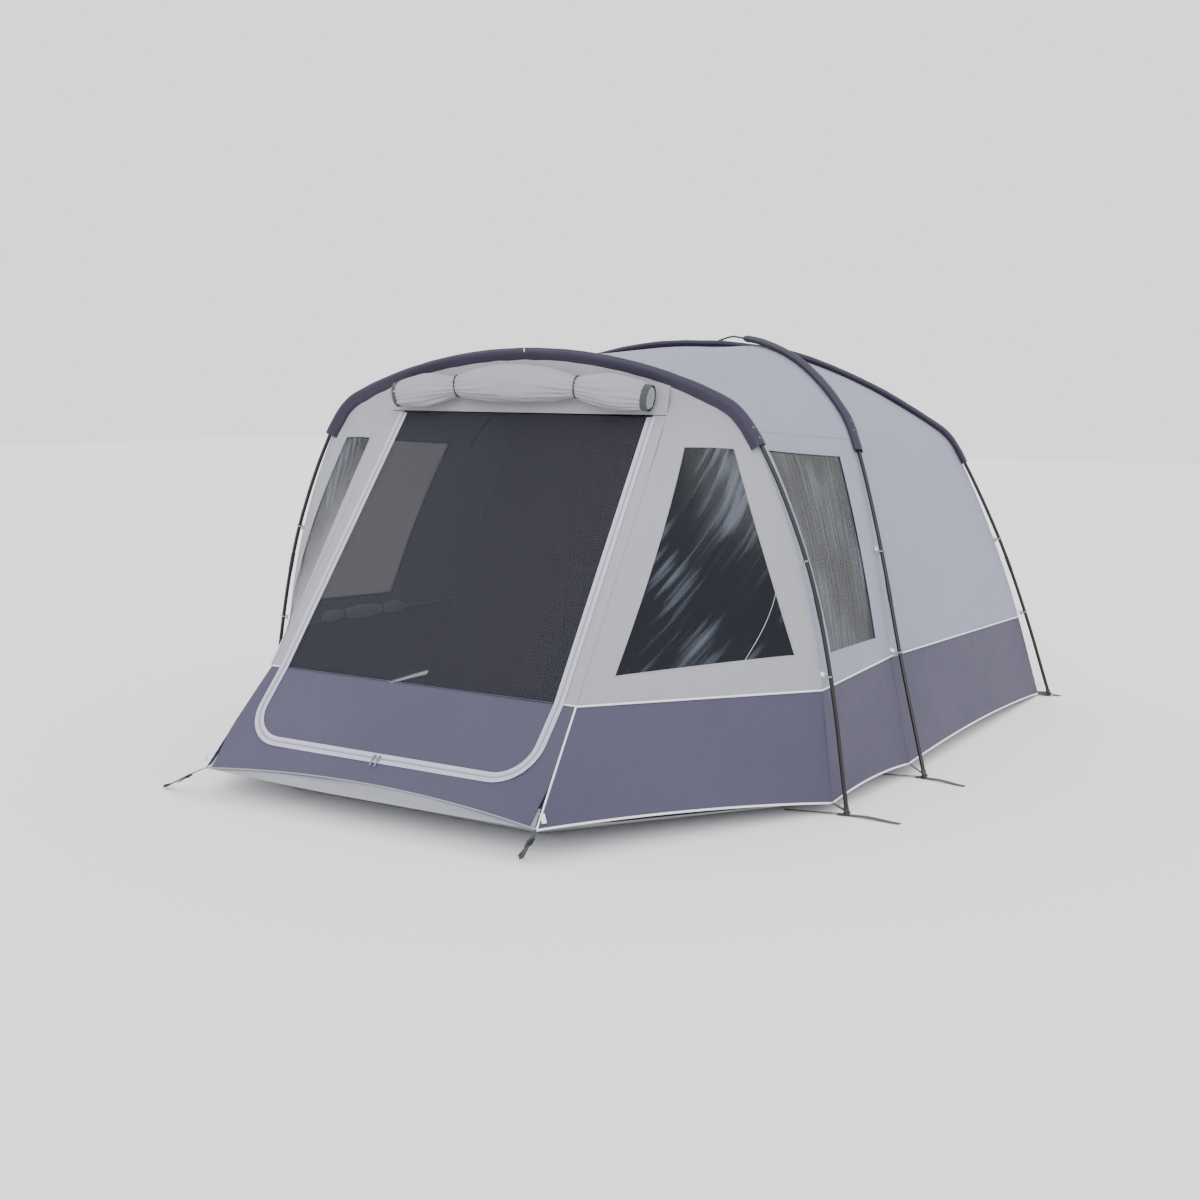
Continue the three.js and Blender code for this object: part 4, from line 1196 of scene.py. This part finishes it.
def tie_round(name, line, t, wide, high, radius, material, girth=0.55, half=None):
    """A loop of cord, or of webbing where half is given, drawn tight round a roll."""
    i = min(int(t * (len(line) - 1)), len(line) - 2)
    along = (line[i + 1] - line[i]).normalized()
    up = (Vector((0, 0, 1)) - along * along.z).normalized()
    side = along.cross(up)
    loop = []
    for k in range(41):
        a = 2 * math.pi * k / 40
        loop.append(line[i] + (side * math.cos(a) * wide + up * math.sin(a) * high) * girth)
    if half:
        made = ribbon(name, loop, [along * half] * len(loop), 0.0016)
    else:
        made = tube(name, loop, radius)
    return finish_piece(made, "tent", material)


for k, t in enumerate(TIES[1:3]):
    tie_round(f"door_tie_{k}", roll_line, t, 0.058, 0.084, 0.0028, SLEEVE, 0.56)
tie_round("door_end_strap_left", roll_line, 0.985, 0.058, 0.084, 0.002, WEBBING, 0.66, 0.009)
tie_round("door_end_strap_right", roll_line, 0.015, 0.058, 0.084, 0.002, WEBBING, 0.66, 0.016)
print("roll", len(roll.data.polygons), "faces")

# rolled blinds under the bay windows, inside
for side, sign in (("right", 1), ("left", -1)):
    steps = [i / 59 for i in range(60)]
    blind = [Vector((sign * (1.335 + 0.004 * f), -0.70 + 0.66 * f, 0.545 - 0.02 * f)) for f in steps]
    made = rolled(f"window_blind_roll_{side}", blind, (0.0, 0.24, 0.72, 1.0), 0.026, 0.034, 11, 4.0)
    finish_piece(made, "tent", PIPING)
    for k, t in enumerate((0.24, 0.72)):
        tie_round(f"blind_tie_{side}_{k}", blind, t, 0.026, 0.034, 0.002, SLEEVE, 0.56)
print("blinds rolled")

# %% [markdown]
# ## Groundsheet and lip
# The floor is a shallow tub of laminated polyethylene. Its raised front edge shows below the
# scooped front hem as a pale crescent, creased because nothing pulls it tight.

# %% Groundsheet
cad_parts["groundsheet"].data.materials.clear()
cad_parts["groundsheet"].data.materials.append(SHEETING)


def lip(u, v):
    s = -DOWN + 0.004 + u * 0.082
    sag = 0.010 * math.sin(math.pi * v)
    crease = 0.004 * math.sin(9 * u + 2 * math.sin(6 * v)) * math.sin(math.pi * v)
    return slope((1 - 2 * v) * (0.803 - 0.01 * u), s - sag * (1 - u), -0.008 + crease)


made = lay("groundsheet_front_lip", lip, whole(10, 80), (0.09, 1.6))
finish_piece(made, "tent", SHEETING, ["groundsheet_lip"])
declare_cloth(made, cut_size(lip), "groundsheet_lip")

# %% [markdown]
# ## Bedroom
# The inner tent hangs from the fly on toggles: thin dark breathable cloth that ripples down its
# whole height, with a door in its front that opens on a zip. Its front is laid round the doorway
# like a wall round a window, and the door leaf is a second sheet on the same surface.

# %% Bedroom
low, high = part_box("bedroom_front")
ROOM_LOW = Vector((high.x, low.y, low.z))
ROOM_TOP = Vector((0.84, high.y - 0.003, high.z))


def room_front(u, v):
    half = ROOM_LOW.x + (ROOM_TOP.x - ROOM_LOW.x) * u
    x = half * (1 - 2 * v)
    p = Vector((x, ROOM_LOW.y + (ROOM_TOP.y - ROOM_LOW.y) * u, ROOM_LOW.z + (ROOM_TOP.z - ROOM_LOW.z) * u))
    hang = 0.006 * math.sin(x * 13 + 2 * noise.noise(Vector((x * 2, u * 2, 1)))) * (1 - 0.6 * u)
    hang *= min(1.0, abs(x + 0.43) / 0.09)  # it lies flat along the seam that the door turns on
    return p + Vector((0, -1, 0.15)) * hang


def room_v(x, u):
    half = ROOM_LOW.x + (ROOM_TOP.x - ROOM_LOW.x) * u
    return (1 - x / half) / 2


leaf_low, leaf_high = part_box("bedroom_door")
height = ROOM_TOP.z - ROOM_LOW.z
u0, u1 = (leaf_low.z - ROOM_LOW.z) / height, (leaf_high.z - ROOM_LOW.z) / height


def doorway(grow):
    a, b = u0 - grow, u1 + grow
    x = leaf_high.x + grow
    return [(a, room_v(x, a)), (a, room_v(-x, a)), (b, room_v(-x, b)), (b, room_v(x, b))]


ROOM_SIZE = (1.57, 2.3)
made = lay("bedroom_front_cloth", room_front, around(doorway(0.003), 20, 40), ROOM_SIZE)
finish_piece(made, "tent", BEDROOM, ["bedroom_front"])
declare_cloth(made, cut_size(room_front), "bedroom_front")
made = lay("bedroom_door_leaf", room_front, [(tuple(doorway(-0.005)), 46, 30)], ROOM_SIZE)
finish_piece(made, "bedroom_door", BEDROOM, ["bedroom_door"])
declare_cloth(made, cut_size(room_front, doorway(-0.005)), "bedroom_door")
# the leaf is sewn along its left side, which is its hinge, and the zip goes round the other three
ring = [Vector(q) for q in doorway(-0.016)]
edge = []
for start, stop in ((ring[2], ring[3]), (ring[3], ring[0]), (ring[0], ring[1])):
    edge += [room_front(*start.lerp(stop, k / 20)) + Vector((0, -0.004, 0)) for k in range(20)]
sewn("bedroom_door_zip", edge, 0.0028, SLEEVE, "bedroom_door")

for side, sign in (("right", 1), ("left", -1)):
    low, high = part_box(f"bedroom_side_{side}")
    near = max(abs(low.x), abs(high.x)) - 0.002
    front_edge = [Vector((sign * near, low.y + 0.002, low.z)), Vector((sign * 0.842, 0.345, 1.556))]
    back_edge = [Vector((sign * near, high.y - 0.002, low.z)), Vector((sign * 0.802, 1.558, 1.398))]
    surface = ruled(front_edge, back_edge, 0.02)
    made = lay(f"bedroom_side_cloth_{side}", surface, whole(40, 44), (1.6, 1.5))
    finish_piece(made, "tent", BEDROOM, [f"bedroom_side_{side}"])
    declare_cloth(made, cut_size(surface), f"bedroom_side_{side}")
cover = [Vector((0.828, 0.351, 1.558)), Vector((0.788, 1.564, 1.4)), Vector((1.318, 1.774, 0.012))]


def room_cover(u, v):
    k = 0 if u < 0.5 else 1
    a = cover[k].lerp(cover[k + 1], u * 2 - k)
    p = Vector((a.x * (1 - 2 * v), a.y, a.z))
    p.z -= 0.03 * math.sin(math.pi * min(max(v, 0), 1)) * (1 - u)
    return p


made = lay("bedroom_back_cloth", room_cover, whole(60, 50), (2.7, 2.2))
finish_piece(made, "tent", BEDROOM, ["bedroom_back"])
declare_cloth(made, cut_size(room_cover), "bedroom_back")

# %% [markdown]
# ## Hooks, eyelets and feet
# Nylon hooks on short webbing tabs clip the walls to the legs. Each leg ends in a plug that takes
# a pin, in a loop of the webbing that pegs the corner down. A brass eyelet sits at each elbow.

# %% Hooks and tabs
def hook(at, along, towards):
    """An open hook round a pole, with a flat block that its webbing tab is sewn through."""
    ring = hollow_ring("ring", 0.0128, 0.0032, 24)
    bpy.ops.object.mode_set(mode="EDIT")
    bpy.ops.mesh.select_all(action="DESELECT")
    bpy.ops.object.mode_set(mode="OBJECT")
    for vert in ring.data.vertices:
        vert.select = abs(math.atan2(vert.co.y, -vert.co.x)) < math.radians(38)
    bpy.ops.object.mode_set(mode="EDIT")
    bpy.ops.mesh.delete(type="VERT")
    bpy.ops.mesh.select_all(action="SELECT")
    bpy.ops.mesh.fill_holes(sides=0)
    bpy.ops.object.mode_set(mode="OBJECT")
    stem = block("stem", Vector((0.0215, 0, 0)), (0.014, 0.006, 0.022), 0.002)
    return stand(joined("hook", [ring, stem]), at, towards, along)


def nearest(line, z):
    return min(line, key=lambda p: abs(p.z - z))


def rib_at(rib, z):
    """The seam's point at a height, on the wall."""
    s = 0.0
    while on(rib, s).z < z and s < 4.4:
        s += 0.02
    return on(rib, s)


LEGS = [
    ("front_hoop_right", HOOP, 1, (1.006, 0.563)),
    ("front_hoop_left", HOOP, -1, (1.006, 0.563)),
    ("over_pole_front_right", FORE, 1, (0.975, 0.535)),
    ("under_pole_front_left", FORE, -1, (0.975, 0.535)),
    ("under_pole_rear_right", REAR, 1, (0.894, 0.482)),
    ("over_pole_rear_left", REAR, -1, (0.894, 0.482)),
]
for name, rib, sign, heights in LEGS:
    leg = leg_of[name]
    hooks, tabs = [], []
    for z in heights:
        at = nearest(leg, z)
        i = leg.index(at)
        along = (leg[i + 1] - leg[i - 1]).normalized()
        held = rib_at(rib, z)
        held = Vector((sign * held.x, held.y, held.z))
        hooks.append(hook(at, along, held - at))
        reach = (held - at).normalized()
        start = at + reach * 0.024
        way = [start.lerp(held - reach * 0.001, k / 5) for k in range(6)]
        tabs.append(ribbon("tab", way, [along * 0.0095] * 6, 0.0014))
    finish_piece(joined(f"hooks_{name}", hooks), "tent", NYLON)
    finish_piece(joined(f"hook_tabs_{name}", tabs), "tent", PIPING)
print("hooks", len(LEGS) * 2)

# %% [markdown]
# Each foot has a plug, a ring, a slant of webbing up to the hem, a run under the groundsheet and
# a tail. The tails lie loose, so they curl a little; the slants are taut and straight.

# %% Feet, straps and eyelets


def foot_strap(name, foot, hem, node):
    """The webbing at one foot: taut slant to the hem, inner run, and tail along the CAD's strap."""
    low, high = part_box(node)
    sign = 1 if foot.x > 0 else -1
    reach = max(abs(low.x), abs(high.x))
    bend = (low.y + high.y) / 2 - foot.y
    tail_y = foot.y + 2 * bend
    wide = Vector((0, 0.0125, 0))
    tail = []
    for k in range(24):
        f = k / 23
        x = abs(foot.x) - 0.04 + (reach - abs(foot.x) + 0.036) * f
        y = foot.y + (tail_y - foot.y) * f + 0.006 * math.sin(5 * f)
        tail.append(Vector((sign * x, y, 0.0016 + 0.005 * math.sin(math.pi * f) ** 2)))
    inner = []
    for k in range(14):
        f = k / 13
        inner.append(Vector((foot.x - sign * (0.01 + 0.24 * f), foot.y - 0.05 * f, 0.0016 + 0.006 * (1 - f))))
    slant = [hem.lerp(foot + Vector((sign * 0.002, 0, 0.012)), k / 9) for k in range(10)]
    across = (hem - foot).cross(Vector((sign, 0, 0))).normalized() * 0.0105
    parts = [
        ribbon("tail", tail, [wide] * 24, 0.0016),
        ribbon("inner", inner, [wide * 0.5] * 14, 0.0016),
        ribbon("slant", slant, [across] * 10, 0.0016),
    ]
    made = joined(name, parts)
    return finish_piece(made, "tent", WEBBING, [node])


FOOT_NODES = {
    "front_hoop_right": "front_hoop_strap_right",
    "front_hoop_left": "front_hoop_strap_left",
    "over_pole_front_right": "cross_front_strap_right",
    "under_pole_front_left": "cross_front_strap_left",
    "under_pole_rear_right": "cross_rear_strap_right",
    "over_pole_rear_left": "cross_rear_strap_left",
}
for name, rib, sign, heights in LEGS:
    leg = leg_of[name]
    foot = Vector((leg[0].x, leg[0].y, 0.004))
    hem = Vector((sign * rib[0][0], rib[0][1], rib[0][2]))
    foot_strap(f"foot_webbing_{name}", foot, hem, FOOT_NODES[name])
    along = (leg[3] - leg[0]).normalized()
    plug = tube("plug", [leg[0] - along * 0.003, leg[0] + along * 0.03], LEG_R + 0.0022)
    collar = hollow_ring("collar", 0.0145, 0.0024)
    stand(collar, leg[0] + along * 0.006, Vector((1, 0, 0)), along)
    finish_piece(joined(f"foot_plug_{name}", [plug, collar]), "tent", NYLON_DARK)

for pole, ends in POLES.items():
    line = line_of[pole]
    for k, end in enumerate(ends):
        half = line if k == 0 else line[::-1]
        eyes = []
        for z in (1.54, 1.50):
            i = min(range(len(half) // 2), key=lambda n: abs(half[n].z - z))
            along = (half[i + 1] - half[i - 1]).normalized()
            out = outward(half[i], along)
            front = along.cross(out)
            front *= 1 if front.y < 0 else -1
            face = (out * 0.55 + front * 0.835).normalized()
            eye = hollow_ring("eye", 0.0048, 0.0016, 16)
            eyes.append(stand(eye, half[i] + face * 0.0182, along, face))
        finish_piece(joined(f"eyelets_{pole}_{end}", eyes), "tent", BRASS)
print("feet", len(FOOT_NODES))

# %% [markdown]
# ## Corner straps
# Each front corner is pegged by a webbing strap with a ladder-lock, the small frame with bars
# that lets the strap be pulled tight. The lock is two side rails joined by four cross bars.

# %% Corner straps
def ladder_lock(at, along, up):
    """A webbing adjuster: two side rails joined by four cross bars."""
    bars = []
    for x in (-0.0165, 0.0165):
        bars.append(block("rail", Vector((x, 0, 0)), (0.0045, 0.006, 0.036), 0.0015))
    for z in (-0.0155, -0.005, 0.006, 0.0155):
        bars.append(block("bar", Vector((0, 0.001 if z < 0 else -0.001, z)), (0.032, 0.0045, 0.0045), 0.0014))
    return stand(joined("lock", bars), at, along.cross(up), along)


PEGS = {"right": Vector((0.738, -2.028, 0.004)), "left": Vector((-1.08, -2.02, 0.004))}
for side, sign in (("right", 1), ("left", -1)):
    corner = Vector((sign * CORNER[0], CORNER[1] + 0.004, CORNER[2]))
    peg = PEGS[side]
    way = (peg - corner).normalized()
    across = way.cross(Vector((0, 0, 1))).normalized() * 0.0122
    strap = [corner.lerp(peg, k / 15) + Vector((0, 0, 0.004 * math.sin(math.pi * k / 15))) for k in range(16)]
    loop = []
    for k in range(13):
        a = 2 * math.pi * k / 12
        loop.append(peg + way * -0.012 * (1 - math.cos(a)) + Vector((0, 0, 0.006 + 0.005 * math.sin(a))))
    tail = [corner.lerp(peg, 0.45) + way.cross(across).normalized() * 0.006]
    for k in range(1, 12):
        aside = Vector((sign * -0.0012 * k, -0.0012 * k, 0.006))
        tail.append(tail[0] + way * 0.0062 * k + aside)
    parts = [ribbon("strap", strap, [across] * 16), ribbon("loop", loop, [across] * 13)]
    parts.append(ribbon("tail", tail, [across * 0.9] * 12))
    finish_piece(joined(f"corner_strap_{side}", parts), "tent", WEBBING)
    lock = ladder_lock(corner.lerp(peg, 0.45) - Vector((0, 0.003, 0)), way, way.cross(across))
    lock.name = f"ladder_lock_{side}"
    finish_piece(lock, "tent", NYLON_DARK)
    top_of_tag = corner + Vector((sign * 0.008, 0.02, 0.055))
    foot_of_tag = corner + Vector((sign * 0.018, 0.02, 0.02))
    half = Vector((0.005 * sign, 0.008, 0))
    made = ribbon(f"corner_tag_{side}", straight(top_of_tag, foot_of_tag, 6), [half] * 6)
    finish_piece(made, "tent", PIPING)
tab = straight((0, -0.890, 1.868), (0.004, -0.893, 1.852), 6)
sewn("crown_toggle", tab, 0.004, BRASS)
print("corners pegged")
